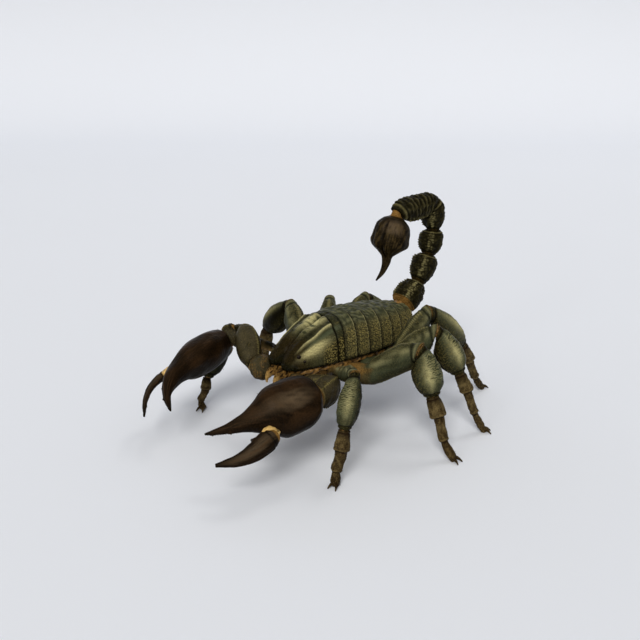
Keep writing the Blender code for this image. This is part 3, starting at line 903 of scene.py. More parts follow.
def carapace_relief(u, v, y, rise, points, arc):
    """Head shield: a furrow, two ridges with gutters beside them, an eye tubercle and a rear collar."""
    size = sizes()
    side = np.abs(u)
    behind = y - HEAD_Y
    back = flow(behind, 5.5, 11.0)
    fade = unit(behind / 8.0)
    rear_line = hill(v, 0.866 - 0.012 * side + 0.006 * np.sin(9.0 * side), 0.016)
    swelling = 0.9 * hill(side, 0.42, 0.2) * fade + 0.55 * hill(side, 0.17, 0.10) * back
    furrow = -0.75 * hill(u, 0.0, 0.055) * fade
    groove = -0.45 * hill(side, 0.36 + 0.10 * flow(v, 0.9, 0.4), 0.06) * back
    ridge_at = 0.53 + 0.05 * flow(v, 0.8, 0.3) + 0.012 * np.sin(0.9 * y)
    ridge_line = hill(side, ridge_at, 0.032) * flow(behind, 3.0, 6.0)
    gutter = -0.60 * hill(side, 0.655, 0.055) * flow(behind, 3.0, 7.0)
    shoulder = 0.45 * hill(side, 0.83, 0.09) * back
    tubercle = 0.75 * hill(u * 9.0, 0.0, 2.6) * hill(y, EYE_Y, 2.6) * flow(side, 0.0, 0.06)
    end = 1.0 - flow(v, 0.83, 0.87)
    form = (swelling + groove + 0.42 * ridge_line + gutter + shoulder) * end + furrow * (0.4 + 0.6 * end)
    form = form + tubercle - 0.45 * rear_line + 0.30 * hill(rise, 0.0, 0.16)

    head = 1.0 - flow(behind + 3.0 * flow(side, 0.45, 0.75), 4.5, 10.0)
    rim = flow(v, 0.01, 0.05)
    margin = flow(side, 0.80, 0.93) * flow(behind, 9.5, 12.5)
    grain = rim * unit(margin + 0.35 * head + 0.25 * flow(v, 0.88, 0.92))
    bumps = pebbles(arc, y, size.granule_pitch * 0.9, 11)
    small = pebbles(arc, y, size.granule_pitch * 0.6, 17)
    rough = drift(points, 2.4, 5)
    raised = form + size.granule_height * (bumps * grain + 0.25 * small * (1.0 - grain)) + 0.05 * rough

    seam = hill(v, 1.0, 0.012) + 0.9 * rear_line
    # a painted highlight on the flank behind the eyes
    flank_highlight = np.minimum(1.0, 1.4 * hill(side, 0.82, 0.10) * hill(behind, 8.6, 4.4))
    flank_highlight = flank_highlight * (0.72 + 0.28 * flow(drift(points * np.array((1.0, 0.22, 1.0)), 0.55, 9), -0.6, 0.8))
    # a painted highlight on the top of the shield
    top_highlight = hill(side, 0.16, 0.17) * hill(behind, 15.0, 4.2)
    # painted light and shade of the relief: a lighter ridge, painted shade in the furrow and the gutters
    relief_light = 0.42 * ridge_line - 0.7 * hill(u, 0.0, 0.05) + 0.5 * gutter
    # painted shade in the groove beside the swelling
    groove_shade = hill(side, 0.39, 0.08) * back * hill(behind, 11.0, 8.0)
    # dark front lobes and seams, and painted shade along the outer edge and in the furrow
    dark_and_shade = 0.72 * head + 0.8 * hill(rise, 0.0, 0.04) + 0.7 * rear_line + 0.5 * hill(u, 0.0, 0.02) * back
    return raised, {
        "lift": 0.5 + 0.55 * (bumps - 0.45) * (grain + 0.40 * flank_highlight) + 0.30 * relief_light - 0.5 * seam,
        "grain": grain + 0.40 * flank_highlight,
        "pale": (0.8 * ridge_line + 0.90 * flank_highlight + 0.85 * top_highlight * flow(rough, -1.6, 0.4)) * end,
        "slate_and_sheen": unit(0.25 + 0.9 * hill(side, 0.655, 0.06) + 0.5 * top_highlight) * back * (1.0 - grain),
        "dark_and_shade": np.clip(dark_and_shade + 0.65 * groove_shade, 0.0, 0.88),
        "amber": 0.13 * head * rim,
    }


def tergite_relief(number):
    """Back plate: granular flanks, a smooth middle with three weak ridges, and dark seams."""
    def relief(u, v, y, rise, points, arc):
        size = sizes()
        side = np.abs(u)
        flank = flow(side, 0.62 - 0.03 * number, 0.86)
        middle = 1.0 - flank
        bumps = pebbles(arc, y, size.granule_pitch * 0.85, 30 + number)
        small = pebbles(arc, y, size.granule_pitch * 0.55, 50 + number)
        rough = drift(points, 1.9, 70 + number)
        band = hill(v, 0.24, 0.05)
        ridges = 0.10 * hill(side, 0.36, 0.05) + 0.12 * hill(u, 0.0, 0.035)
        edge = hill(v, 0.955, 0.025) * flow(side, 0.2, 0.6)
        raised = size.granule_height * (bumps * flank * 1.1 + small * 0.18 * middle) + 0.05 * rough
        raised = raised + ridges * flow(v, 0.2, 0.5) - 0.10 * band + 0.25 * hill(rise, 0.0, 0.16)
        seam = hill(v, 1.0, 0.035) + hill(v, 0.0, 0.13)
        lift = 0.5 + 0.55 * (bumps - 0.45) * flank + 0.05 * (small - 0.3) * middle + 0.03 * rough
        return raised, {
            "lift": lift - 0.12 * band - 0.4 * seam,
            "grain": 0.10 + 0.80 * flank,
            "pale": 0.45 * edge + 0.10 * flank + 0.12 * middle * flow(rough, -0.6, 1.4),
            "slate_and_sheen": (0.40 + 0.25 * flow(rough, -1.2, 1.2)) * middle,
            # dark seams, and painted shade along the outer edges
            "dark_and_shade": np.clip((0.88 - 0.35 * flank) * seam + 0.9 * hill(rise, 0.0, 0.05), 0.0, 0.92),
        }
    return relief


def build_carapace():
    """The head shield."""
    seam = seam_line(seam_places()[0])
    notch = 2.6

    def front(u):
        """The front edge: notched in the middle, with corners that bend back."""
        return HEAD_Y - 0.05 + notch * np.exp(-((u / 0.20) ** 2)) + 2.2 * u ** 4

    plate(
        "carapace", front, lambda u: seam(u) + 0.1, carapace_relief, 250, 175, lift_rear=0.18, sink_front=0.55
    )


def build_tergites():
    """The seven back plates, each one's rear edge over the front of the next."""
    edges = [seam_line(y) for y in seam_places()]
    edges.append(lambda u: TRUNK_END - 1.2 * u * u)
    lap = sizes().plate_lap
    for number, (front, rear) in enumerate(zip(edges, edges[1:]), 1):
        plate(
            "tergite_%d" % number, lambda u, edge=front: edge(u) + 0.12, lambda u, edge=rear: edge(u) + 0.08,
            tergite_relief(number), 220, 42, lift_rear=lap, sink_front=0.25,
        )


def belly(node, groove_lines):
    """A piece of the underside: the CAD solid's outline, rounded, with grooves between its plates."""
    front, rear = ends_of(node)
    rows, columns, cuts = 90, 120, 12
    y = np.linspace(front, rear, rows)
    cut_at = np.linspace(front, rear, cuts)
    inside = np.clip(cut_at, front + 0.3, rear - 0.3)
    found = smooth_rows(cut_at, [cut_across(node, float(place)) for place in inside], y, tight=True)
    half, low, high = found[:, 0] - abs(CENTRE_X), found[:, 1], found[:, 2]
    c, s = boxy(TAU * np.arange(columns) / columns, 2.8)
    middle = high - 1.2
    z = middle[:, None] + np.where(s > 0.0, 1.1, (middle - low)[:, None]) * s
    points = np.stack([CENTRE_X + half[:, None] * c, np.repeat(y[:, None], columns, 1), z], axis=-1)
    groove = groove_lines(points)
    dents = 0.35 * groove - 0.10 * pebbles(points[..., 0], points[..., 1], 0.55, 91)
    spine = np.stack([np.full(rows, CENTRE_X), y, 0.5 * (middle + low)], axis=-1)[:, None, :]
    way = points - spine
    way /= np.linalg.norm(way, axis=2, keepdims=True)
    points = points - way * dents[..., None]
    corners = np.concatenate([points.reshape(-1, 3), spine[[0, -1], 0]])
    # its rings run the other way round than a tube's
    faces = [[face[0], *face[:0:-1]] for face in closed_tube_faces(rows, columns)]
    ends = [0.5, 0.5]
    masks = {
        "lift": np.concatenate([(0.62 - 0.55 * groove).reshape(-1), ends]),
        # dark seams, and painted shade in the grooves
        "dark_and_shade": np.concatenate([(0.7 * groove).reshape(-1), ends]),
        "grain": 0.35,
    }
    return add_piece(node, corners, faces, "underside", masks, (node,))


def coxa_lines(points):
    """Grooves between the coxae, which fan out from the breast plate to the legs."""
    x = np.abs(points[..., 0] - CENTRE_X)
    y = points[..., 1]
    found = hill(x, 0.0, 0.12)
    for number in range(1, 4):
        ends = ends_of("leg_L%d_femur" % number) + ends_of("leg_L%d_femur" % (number + 1))
        edge = 0.25 * sum(ends)
        inner = HEAD_Y + 13.0 + 1.5 * number
        line = inner + (edge - inner) * np.clip(x / 10.0, 0.0, 1.2)
        found = np.maximum(found, hill(y, line, 0.28) * flow(x, 0.6, 1.4))
    return found


def sternite_lines(points):
    """Seams across the belly plates, and the breathing slits beside them."""
    x = np.abs(points[..., 0] - CENTRE_X)
    y = points[..., 1]
    found = np.zeros(y.shape)
    for place in seam_places()[2:]:
        found = np.maximum(found, hill(y, place + 0.6, 0.22))
    for place in seam_places()[2:5]:
        found = np.maximum(found, hill(x, 6.0, 1.0) * hill(y, place + 3.2, 0.25))
    return found


def side_folds(s):
    """Slanting folds of the skin along the flanks."""
    waves = drift(s.points, 2.2, 123)
    lines = hill(turned(s.angle * 3.0 + s.mm * 0.9 + waves), 0.0, 0.5)
    return 0.22 * waves - 0.14 * lines, {"lift": 0.55 + 0.25 * waves - 0.45 * lines}


def build_underside():
    """The belly, and on both sides the skin of the flank and a comb."""
    belly("coxosternum", coxa_lines)
    belly("sternites", sternite_lines)
    for side, hand in HANDS:
        stations = []
        for y in np.linspace(HEAD_Y + 3.5, TRUNK_END - 2.5, 26):
            wide, margin, _ = (float(value) for value in across_trunk(y))
            wave = 0.35 * math.sin(y * 1.15) + 0.2 * math.sin(y * 2.7 + 1.0)
            fold = 0.8 + 0.5 * float(flow(y, HEAD_Y + 2.0, HEAD_Y + 9.0))
            x = CENTRE_X + side * (wide * 0.90 - 0.9 + 0.3 * wave)
            stations.append(((x, y, margin - 1.05 - 0.25 * wave), fold + 0.15 * wave, 1.05 + 0.25 * wave))
        skin = round_limb(stations, side=SIDEWAYS)
        add_tube("side_skin_" + hand, skin, "joint_skin", side_folds, row_slot="underside", domes=(0.5, 0.5))
        build_comb(side, hand)


def build_comb(side, hand):
    """One comb: a bar that tapers outwards and a row of teeth behind it."""
    node = "pecten_" + hand
    low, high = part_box(node)
    inner, outer = sorted((abs(low.x) / MM, abs(high.x) / MM))
    z = 0.5 * (low.z + high.z) / MM
    front, rear = low.y / MM, high.y / MM
    sweep = rear - front - 2.3

    def place(t, out=0.0, back=0.0):
        """A corner at share t of the comb's length, moved out and back."""
        return (side * (inner + (outer - inner) * t + out), front + back + sweep * t, z)

    bar = np.linspace(0.02, 0.98, 9)
    limbs = [round_limb([(place(t, back=0.55), 0.42 * (1.0 - 0.4 * t), 0.5 * (1.0 - 0.3 * t)) for t in bar])]
    teeth = 11
    # how far out and back each ring of a tooth lies, and its half axes
    tooth = (
        (0.0, 0.85, 0.26, 0.30), (0.0, 1.35, 0.30, 0.34), (-0.05, 1.9, 0.24, 0.28), (-0.12, 2.25, 0.13, 0.15),
    )
    for n in range(teeth):
        t = (n + 0.8) / (teeth + 0.2)
        limbs.append(round_limb([(place(t, out, back), wide, high) for out, back, wide, high in tooth]))
    piece = add_tubes(node, limbs, "mouth", step=0.11)
    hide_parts(node)


# ---------------------------------------------------------------- legs
# the angles round a leg or a tail ring that look up or outwards, and down or inwards
TOP = -0.5 * math.pi
BOTTOM = 0.5 * math.pi
# how stout each pair's lower leg is, how far its heel bends aside in mm, and how slim it is below the ankle
FOOT_BUILD = ((1.08, 0.9, 1.0), (1.0, 0.6, 0.80), (0.96, 0.4, 0.82), (0.98, 0.2, 0.86))
# how stout the right fore leg is, which is turned another way, and how far its heel bends aside
RIGHT_FORE_FOOT = (0.84, 1.6)
# how much of each pair's femur is soft amber skin next to the body
BARE_ROOT = (0.50, 0.30, 0.0, 0.0)


def leg_plane(label):
    """The level direction square to a leg, and the way that the leg points outwards."""
    knee = rings_of(label + "patella", DOWN)[0].mean(0)
    foot = rings_of(label + "foot", DOWN)[-1].mean(0)
    out = foot - knee
    out[2] = 0.0
    out /= np.linalg.norm(out)
    return np.cross(out, UPRIGHT), out


def femur_relief(seed, bare):
    """Thigh: beaded keels above and below, rings near both ends, a soft root up to the share bare, a painted
    highlight along its upper side and painted shade under it.
    """
    def relief(s):
        size = sizes()
        bumps = s.granules(size.granule_pitch * 0.85, seed)
        fine = s.granules(size.granule_pitch * 0.5, seed + 3)
        rough = drift(s.points, 3.2, seed)
        collar = s.ring(0.965, 0.014)
        neck = s.ring(0.93, 0.012)
        trochanter = s.ring(0.33, 0.012) + s.ring(0.17, 0.010)
        body = s.stretch(0.34, 0.42, 0.90, 0.94)
        crest = s.keel(TOP, 0.16) + 0.8 * s.keel(BOTTOM - 0.35, 0.13) + 0.7 * s.keel(BOTTOM + 0.35, 0.13)
        crest = crest * s.beads(0.62) * body
        zone = flow(np.abs(np.sin(s.angle)), 0.25, 0.95) * body
        raised = size.granule_height * bumps * (0.25 + 0.75 * zone) + 0.05 * fine + 0.08 * rough
        raised = raised + size.keel_height * 0.75 * crest + 0.12 * collar - 0.16 * neck - 0.04 * trochanter
        top = flow(-np.sin(s.angle), -0.2, 0.8)
        root = 0.0
        if bare:
            root = 0.75 * (1.0 - flow(s.share + 0.05 * rough, bare - 0.10, bare + 0.12))
        lift = 0.5 + 0.28 * (bumps - 0.4) * (0.3 + 0.7 * zone) + 0.2 * crest
        # a painted highlight along the upper side
        highlight = hill(np.sin(s.angle), -0.45, 0.30) * flow(rough, -2.2, 1.2) * body
        # dark rings, and painted shade on the underside
        dark_and_shade = 0.45 * neck + 0.06 * trochanter + 0.50 * flow(np.sin(s.angle), 0.0, 0.9)
        return raised, {
            "lift": lift - 0.3 * neck - 0.12 * trochanter,
            "grain": 0.12 + 0.22 * zone,
            "amber": 0.7 * flow(s.share, 0.985, 1.0) + (0.55 + 0.45 * top) * root,
            "slate_and_sheen": (0.60 - 0.30 * zone) * (0.6 + 0.4 * flow(rough, -1.3, 1.0)),
            "pale": unit(0.35 * crest + 0.2 * collar + 0.26 * highlight),
            # the root's skin gets painted shade on its lower side
            "dark_and_shade": unit(dark_and_shade + 0.75 * root * (1.0 - top) * flow(rough, -1.0, 0.8)),
        }
    return relief


def patella_relief(seed, facing, fore):
    """Knee joint: rippled above, granular below, with a painted highlight on the side that faces the light
    and painted shade on the lower side and one flank.
    """
    gleam_at = TOP + (-0.45 if fore else 1.0) * facing
    gleam_by = 0.44 if fore else 0.70
    shade_at = 2.6 if fore else math.pi

    def relief(s):
        size = sizes()
        outer = flow(-np.sin(s.angle), 0.0, 0.8)
        inner = 1.0 - outer
        rough = drift(s.points, 2.8, seed)
        wander = drift(s.points, 1.1, seed + 1)
        ripple = np.sin(TAU * (s.mm + 0.16 * wander) / 0.52) * outer * s.stretch(0.10, 0.2, 0.50, 0.85)
        lobe = s.keel(BOTTOM - 0.55 * facing, 0.10) * s.stretch(0.22, 0.35, 0.8, 0.9)
        crest = (s.keel(TOP + 0.95, 0.10) + s.keel(TOP - 0.95, 0.10)) * s.beads(0.55)
        bumps = s.granules(size.granule_pitch * 0.8, seed + 5)
        # painted highlight on the side that faces the light
        gleam = s.keel(gleam_at, 0.36) * s.ring(0.52, 0.26) * (0.75 + 0.25 * flow(rough, -1.4, 1.0))
        neck = s.ring(0.085, 0.018)
        collar = s.ring(0.965, 0.016)
        before = s.ring(0.925, 0.012)
        body = s.stretch(0.08, 0.14, 0.90, 0.94)
        raised = 0.045 * ripple + 0.07 * rough - 0.28 * lobe + size.keel_height * 0.3 * crest * body
        raised = raised + size.granule_height * 0.6 * bumps * inner * body
        raised = raised - 0.20 * neck + 0.14 * collar - 0.16 * before
        smooth = flow(-np.sin(s.angle), -0.7, 0.3) * (1.0 - 0.6 * flow(s.share, 0.62, 0.9)) * body
        lift = 0.52 + 0.42 * ripple - 0.5 * lobe + 0.3 * (bumps - 0.4) * inner + 0.12 * crest
        return raised, {
            "lift": lift - 0.35 * before,
            "grain": 0.12 + 0.35 * inner,
            "slate_and_sheen": 0.80 * smooth * (0.65 + 0.35 * flow(rough, -1.6, 1.0)),
            "pale": unit(0.20 * flow(ripple, 0.1, 0.9) * outer + (0.10 * crest + gleam_by * gleam) * body),
            "amber": 0.40 * (1.0 - flow(s.share, 0.010, 0.025)),
            # dark neck and grooves, and painted shade on the lower side and along one flank
            "dark_and_shade": unit(0.95 * neck + 0.45 * before + 0.3 * inner + 0.70 * s.keel(shade_at, 0.9)),
        }
    return relief


def foot_shape(limb, plane, stout, kink, waist):
    """A lower leg as a living one: flared tibia, slim second joint, stout last joint that bends aside."""
    ankle = 0.5 * (limb.keys[2] + limb.keys[3]) / limb.length
    heel = 0.5 * (limb.keys[4] + limb.keys[5]) / limb.length
    girth = stout * float(np.linalg.norm(limb.across[1]))
    # how thick the leg is at each share of its length
    shape = (
        (0.0, 0.82), (0.10 * ankle, 0.90), (0.45 * ankle, 1.02), (0.84 * ankle, 1.14), (0.97 * ankle, 1.10),
        (ankle + 0.012, 0.90), (ankle + 0.06, 0.87), (0.5 * (ankle + heel), 0.80),
        (heel - 0.05, 0.82), (heel - 0.012, 0.78), (heel + 0.014, 0.58), (heel + 0.07, 0.64),
        (0.5 + 0.5 * heel, 0.74), (0.95, 0.62), (1.0, 0.50),
    )
    stations = []
    for share, factor in shape:
        centre = limb.spot(share * limb.length)
        centre = centre + plane * kink * float(hill(share, heel, 0.21)) + (0.0, 0.0, 0.35 * share ** 8)
        wide = girth * factor * (waist if share > ankle else 1.0)
        stations.append((centre, wide, wide * 0.95))
    return round_limb(stations, side=plane), ankle, heel


def foot_relief(ankle, heel, seed):
    """Lower leg: rims and cuts at its joints, a row of spines below, paler middles, and painted shade along
    one side.
    """
    def relief(s):
        size = sizes()
        rough = drift(s.points, 1.8, seed)
        wear = drift(s.points * np.array((1.0, 1.0, 0.4)), 1.2, seed + 2)
        bumps = s.granules(size.granule_pitch * 0.75, seed)
        rims = s.ring(ankle - 0.022, 0.014) + s.ring(heel - 0.02, 0.012)
        cuts = s.ring(ankle + 0.006, 0.012) + s.ring(heel + 0.006, 0.012) + s.ring(0.035, 0.012)
        middle = s.ring(0.55 * ankle, 0.28 * ankle) + 0.7 * s.ring(0.5 * (ankle + heel), 0.07)
        spines = s.keel(BOTTOM, 0.45) * s.beads(0.9, 0.5) * flow(s.share, ankle + 0.02, ankle + 0.05)
        raised = 0.08 * rough + size.granule_height * 0.6 * bumps + 0.08 * rims - 0.10 * cuts + 0.09 * spines
        dark_and_shade = 0.7 * cuts + 0.35 * flow(s.share, 0.16, 0.06) + 0.12 * flow(-wear, 0.0, 1.2)
        return raised, {
            "lift": 0.5 + 0.35 * (bumps - 0.4) + 0.06 * wear + 0.2 * rims - 0.5 * cuts,
            "grain": 0.28,
            "pale": unit(0.65 * middle * flow(rough, -2.0, 1.0) + 0.3 * rims + 0.12 * flow(wear, 0.2, 1.2)),
            "slate_and_sheen": 0.35 * (1.0 - flow(s.share, 0.05, 0.3)),
            # dark cuts and ends, and painted shade along one side
            "dark_and_shade": np.clip(dark_and_shade + 0.45 * s.keel(math.pi, 0.9), 0.0, 0.85),
        }
    return relief


def pear(share):
    """A patella is slimmer at the knee than below its middle."""
    wide = 0.80 + 0.25 * flow(share, 0.05, 0.55) - 0.06 * flow(share, 0.75, 1.0)
    return wide, wide


def front_femur(femur):
    """The first pair's thigh is slim and bows down in its middle; a leg's up axis looks down."""
    share = (femur.keys / femur.length)[:, None]
    down = femur.up / np.linalg.norm(femur.up, axis=1)[:, None]
    slim = 0.60 + 0.22 * flow(share, 0.5, 0.95)
    bow = 1.3 * down * np.sin(math.pi * share)
    return Limb(femur.centres + bow, slim * femur.across, 0.92 * slim * femur.up)


def foot_prongs(sole, out, plane):
    """The two curved prongs at the end of a leg."""
    reach = sizes().prong_length
    prongs = []
    for way in (-1.0, 1.0):
        stations = []
        for t in np.linspace(0.0, 1.0, 9):
            at = sole + out * (reach * t - 0.5) + plane * way * (0.30 + 1.0 * t)
            at = at + np.array((0.0, 0.0, 0.75 + 0.95 * t - 1.95 * t ** 2))
            thin = 1.0 - 0.78 * t
            stations.append((at, 0.80 * thin, 0.82 * thin))
        prongs.append(round_limb(stations))
    return prongs


def build_legs():
    """Eight legs of three pieces each, and on each side one piece of prongs and one of joint skin."""
    for side, hand in HANDS:
        prongs, skins = [], []
        for number in range(1, 5):
            label = "leg_%s%d_" % (hand, number)
            plane, out = leg_plane(label)
            femur = limb_of(label + "femur", (side, 0.0, 0.0), plane)
            patella = limb_of(label + "patella", DOWN, plane)
            foot = limb_of(label + "foot", DOWN, plane)
            if number == 1:
                femur = front_femur(femur)
            seed = 100 * number + (7 if hand == "R" else 0)
            relief = femur_relief(seed, BARE_ROOT[number - 1])
            node = label + "femur"
            add_tube(node, femur, "shell", relief, (node,), corner=2.35)
            relief = patella_relief(seed + 20, side, number == 1)
            node = label + "patella"
            add_tube(node, patella, "shell", relief, (node,), corner=2.2, squeeze=pear)
            stout, kink, waist = FOOT_BUILD[number - 1]
            if number == 1 and hand == "R":
                stout, kink = RIGHT_FORE_FOOT
            foot, ankle, heel = foot_shape(foot, plane, stout, kink, waist)
            relief = foot_relief(ankle, heel, seed + 40)
            node = label + "foot"
            add_tube(node, foot, "tarsus", relief, (node,), corner=2.15, domes=(0.12, 0.35))
            prongs += foot_prongs(foot.centres[-1], out, plane)
            skins.append(joint_plug(femur, patella, 0.66, 1.2))
            skins.append(joint_plug(patella, foot, 0.75, 0.9))
        add_tubes("foot_prongs_" + hand, prongs, "tarsus", step=0.12)
        add_skins("leg_joint_skin_" + hand, skins, domes=(0.1, 0.1), step=0.22)


def joint_plug(before, after, share, inside):
    """Skin between two joints: a short tube that starts inside one and ends inside the next."""
    first = before.spot(before.length - inside)
    second = after.spot(inside)
    wide = share * min(np.linalg.norm(before.across[-1]), np.linalg.norm(after.across[0]))
    high = share * min(np.linalg.norm(before.up[-1]), np.linalg.norm(after.up[0]))
    bend = 0.5 * (before.centres[-1] + after.centres[0])
    return round_limb([
        (first, wide, high), (before.centres[-1], wide, high), (bend, wide * 1.04, high * 1.04),
        (after.centres[0], wide, high), (second, wide, high),
    ], side=before.across[-1])


def skin_folds(s):
    """Soft unevenness of joint skin."""
    waves = drift(s.points, 1.4, 60)
    return 0.08 * waves, {"lift": 0.5 + 0.3 * waves}


def shaded_folds(s):
    """Joint skin that lies deep between two rings, darkened all over as painted shade."""
    raised, masks = skin_folds(s)
    return raised, {**masks, "dark_and_shade": 0.72}


# ---------------------------------------------------------------- pedipalps
# the way that faces look which get a painted highlight; faces turned away from it get painted shade
UPPER_FACE = (0.54, -0.52, 0.66)
PALM_KEELS = 9


def add_skins(name, limbs, relief=skin_folds, **shape):
    """Several tubes of joint skin as one piece."""
    return add_tubes(name, limbs, "joint_skin", relief, row_slot="mouth", **shape)


def arm_relief(seed, keels, amber_end=0.985):
    """Keeled and granular joint of a pedipalp; one without keels is freckled with amber."""
    amber_start = 0.03

    def relief(s):
        size = sizes()
        bumps = s.granules(size.granule_pitch * 0.9, seed)
        fine = s.granules(size.granule_pitch * 0.5, seed + 1)
        rough = drift(s.points, 3.4, seed)
        crest = sum(s.keel(angle, 0.11) for angle in keels)
        body = s.stretch(0.06, 0.18, 0.88, 0.95)
        beads = s.beads(0.7) * body
        collar = s.ring(0.94, 0.02)
        smooth = flow(rough, -2.4, -0.6) * (1.0 - unit(crest * 1.4))
        freckles = 0.0 if keels else 0.60 * flow(bumps, 0.45, 0.75) * flow(rough, -0.9, 0.6)
        raised = size.keel_height * 1.1 * crest * beads + 0.04 * fine + 0.10 * rough + 0.20 * collar
        raised = raised + size.granule_height * bumps * (0.35 + 0.4 * (1.0 - smooth))
        skin = 0.8 * (1.0 - flow(s.share, 0.4 * amber_start, amber_start)) + flow(s.share, amber_end, 1.0)
        # painted shade on the faces turned away from the light
        dark_and_shade = (0.12 if keels else 0.30) + 0.6 * flow(-top_share(s), -0.6, 0.4) - 0.2 * smooth
        return raised, {
            "lift": 0.5 + 0.4 * (bumps - 0.4) * (1.0 - 0.5 * smooth) + 0.3 * crest * beads + 0.2 * collar,
            "grain": 0.55 - 0.45 * smooth,
            # a painted highlight on smooth faces that look towards the light
            "slate_and_sheen": 0.60 * smooth * body * flow(top_share(s), 0.2, 0.95),
            "pale": unit(0.24 * crest * beads + 0.2 * collar),
            "amber": unit(skin + freckles),
            "dark_and_shade": unit(dark_and_shade + 0.35 * s.ring(0.90, 0.02) + 0.5 * s.ring(amber_start + 0.03, 0.03)),
        }
    return relief


def tooth_row(s, pitch, spacing):
    """Small teeth along a finger, with a larger one at each spacing."""
    return s.beads(pitch, 0.5) + 0.9 * hill(np.sin(TAU * s.mm / spacing), 1.0, 0.22)


def claw_relief(seed, inner_at, palm_end, shade):
    """Smooth palm with faint lengthwise keels, running out into a toothed finger.

    inner_at gives the angle that looks at the other finger, and a lower shade lets
    the painted shade below reach further up.
    """
    def relief(s):
        size = sizes()
        rough = drift(s.points, 7.0, seed)
        streak = lengthwise(s, 2.6, 0.07, seed + 1)
        broad = lengthwise(s, 0.9, 0.03, seed + 2)
        upper = top_share(s)
        finger = flow(s.share, palm_end - 0.06, palm_end + 0.10)
        palm = 1.0 - finger
        pits = s.granules(size.granule_pitch * 1.4, seed) * palm
        spread = [0.3 + TAU * n / PALM_KEELS + 0.18 * math.sin(n * 2.1) for n in range(PALM_KEELS)]
        keels = sum(s.keel(angle, 0.10) for angle in spread) * s.stretch(0.08, 0.2, 0.9, 1.0)
        inner = s.keel(inner_at(s.share), 0.30) * s.stretch(palm_end + 0.02, palm_end + 0.08, 0.96, 1.0)
        teeth = tooth_row(s, 0.75, 5.2)
        raised = 0.16 * rough * palm + 0.13 * keels * (0.35 + 0.65 * finger) - 0.055 * pits + 0.012 * streak
        raised = raised + size.tooth_height * inner * teeth + 0.18 * s.ring(0.035, 0.02)
        # a painted highlight on the palm's face that looks towards the light
        sheen = flow(upper + 0.02 * streak, 0.78, 1.02) * (0.10 + 0.90 * s.ring(0.25, 0.16))
        warm = flow(rough + 0.2 * broad + 0.06 * streak, -0.8, 1.3) * palm * flow(upper, -0.1, 0.7)
        tip = 0.6 * flow(s.share, 0.88, 1.0) + 0.45 * finger * flow(-streak, -0.6, 0.8)
        # dark streaks, and painted shade on the faces turned away from the light
        below = 0.10 * flow(-streak, 0.1, 1.2) + 0.85 * flow(-upper, shade, shade + 0.78)
        return raised, {
            "lift": 0.55 + 0.05 * streak + 0.18 * keels * finger - 0.12 * pits + 0.2 * inner * (teeth - 0.6),
            "grain": 0.12 + 0.25 * finger,
            "slate_and_sheen": sheen,
            "pale": unit(0.42 * warm * (1.0 - 0.8 * sheen) + 0.18 * keels * flow(streak, -0.3, 0.8)),
            "amber": 0.9 * (1.0 - flow(s.share, 0.04, 0.06)),
            "dark_and_shade": np.clip(tip + below, 0.0, 0.88),
        }
    return relief


def lengthwise(s, stripes, stretch, seed):
    """Random streaks along a tube: more stripes are narrower, a smaller stretch is longer."""
    spread = np.broadcast_arrays(stripes * np.cos(s.angle), stripes * np.sin(s.angle), stretch * s.mm)
    return drift(np.stack(spread, -1), 0.30, seed)


def outward(s):
    """The way that each place on a tube looks."""
    away = s.points - s.limb.at(s.mm[:, 0])[0][:, None, :]
    return away / np.linalg.norm(away, axis=-1, keepdims=True)


def top_share(s):
    """How squarely each place on a tube looks the way of the painted highlight, from -1 to 1."""
    return outward(s) @ np.array(UPPER_FACE)


def finger_relief(seed, inner_at):
    """Movable finger: faint ridges, a knob near its root and teeth that face the fixed finger."""
    def relief(s):
        size = sizes()
        streak = lengthwise(s, 1.6, 0.08, seed)
        upper = top_share(s)
        inner = s.keel(inner_at(s.share), 0.30)
        teeth = tooth_row(s, 0.7, 4.6)
        bulge = s.ring(0.30, 0.045) * s.keel(inner_at(s.share), 0.55)
        ridges = sum(s.keel(angle, 0.12) for angle in (0.2, 1.5, 2.9, -1.4))
        raised = size.tooth_height * inner * teeth * s.stretch(0.10, 0.2, 0.95, 1.0) + 0.9 * bulge
        raised = raised + 0.14 * ridges * flow(s.share, 0.10, 0.2) + 0.05 * streak - 0.2 * s.ring(0.12, 0.02)
        # a painted highlight on the face that looks towards the light
        sheen = flow(upper + 0.05 * streak, 0.60, 1.02) * (1.0 - 0.5 * flow(s.share, 0.5, 1.0))
        # dark tip and groove, and painted shade on the faces turned away from the light
        dark_and_shade = 0.6 * flow(s.share, 0.7, 1.0) + 0.5 * s.ring(0.13, 0.02) + 0.85 * flow(-upper, -0.5, 0.3)
        return raised, {
            "lift": 0.52 + 0.06 * streak + 0.2 * ridges - 0.35 * s.ring(0.12, 0.02),
            "grain": 0.2,
            "slate_and_sheen": 0.42 * sheen,
            "pale": unit(0.4 * ridges * s.stretch(0.10, 0.2, 0.6, 0.9)),
            "amber": 1.0 - flow(s.share, 0.03, 0.06),
            "dark_and_shade": np.clip(dark_and_shade, 0.0, 0.88),
        }
    return relief


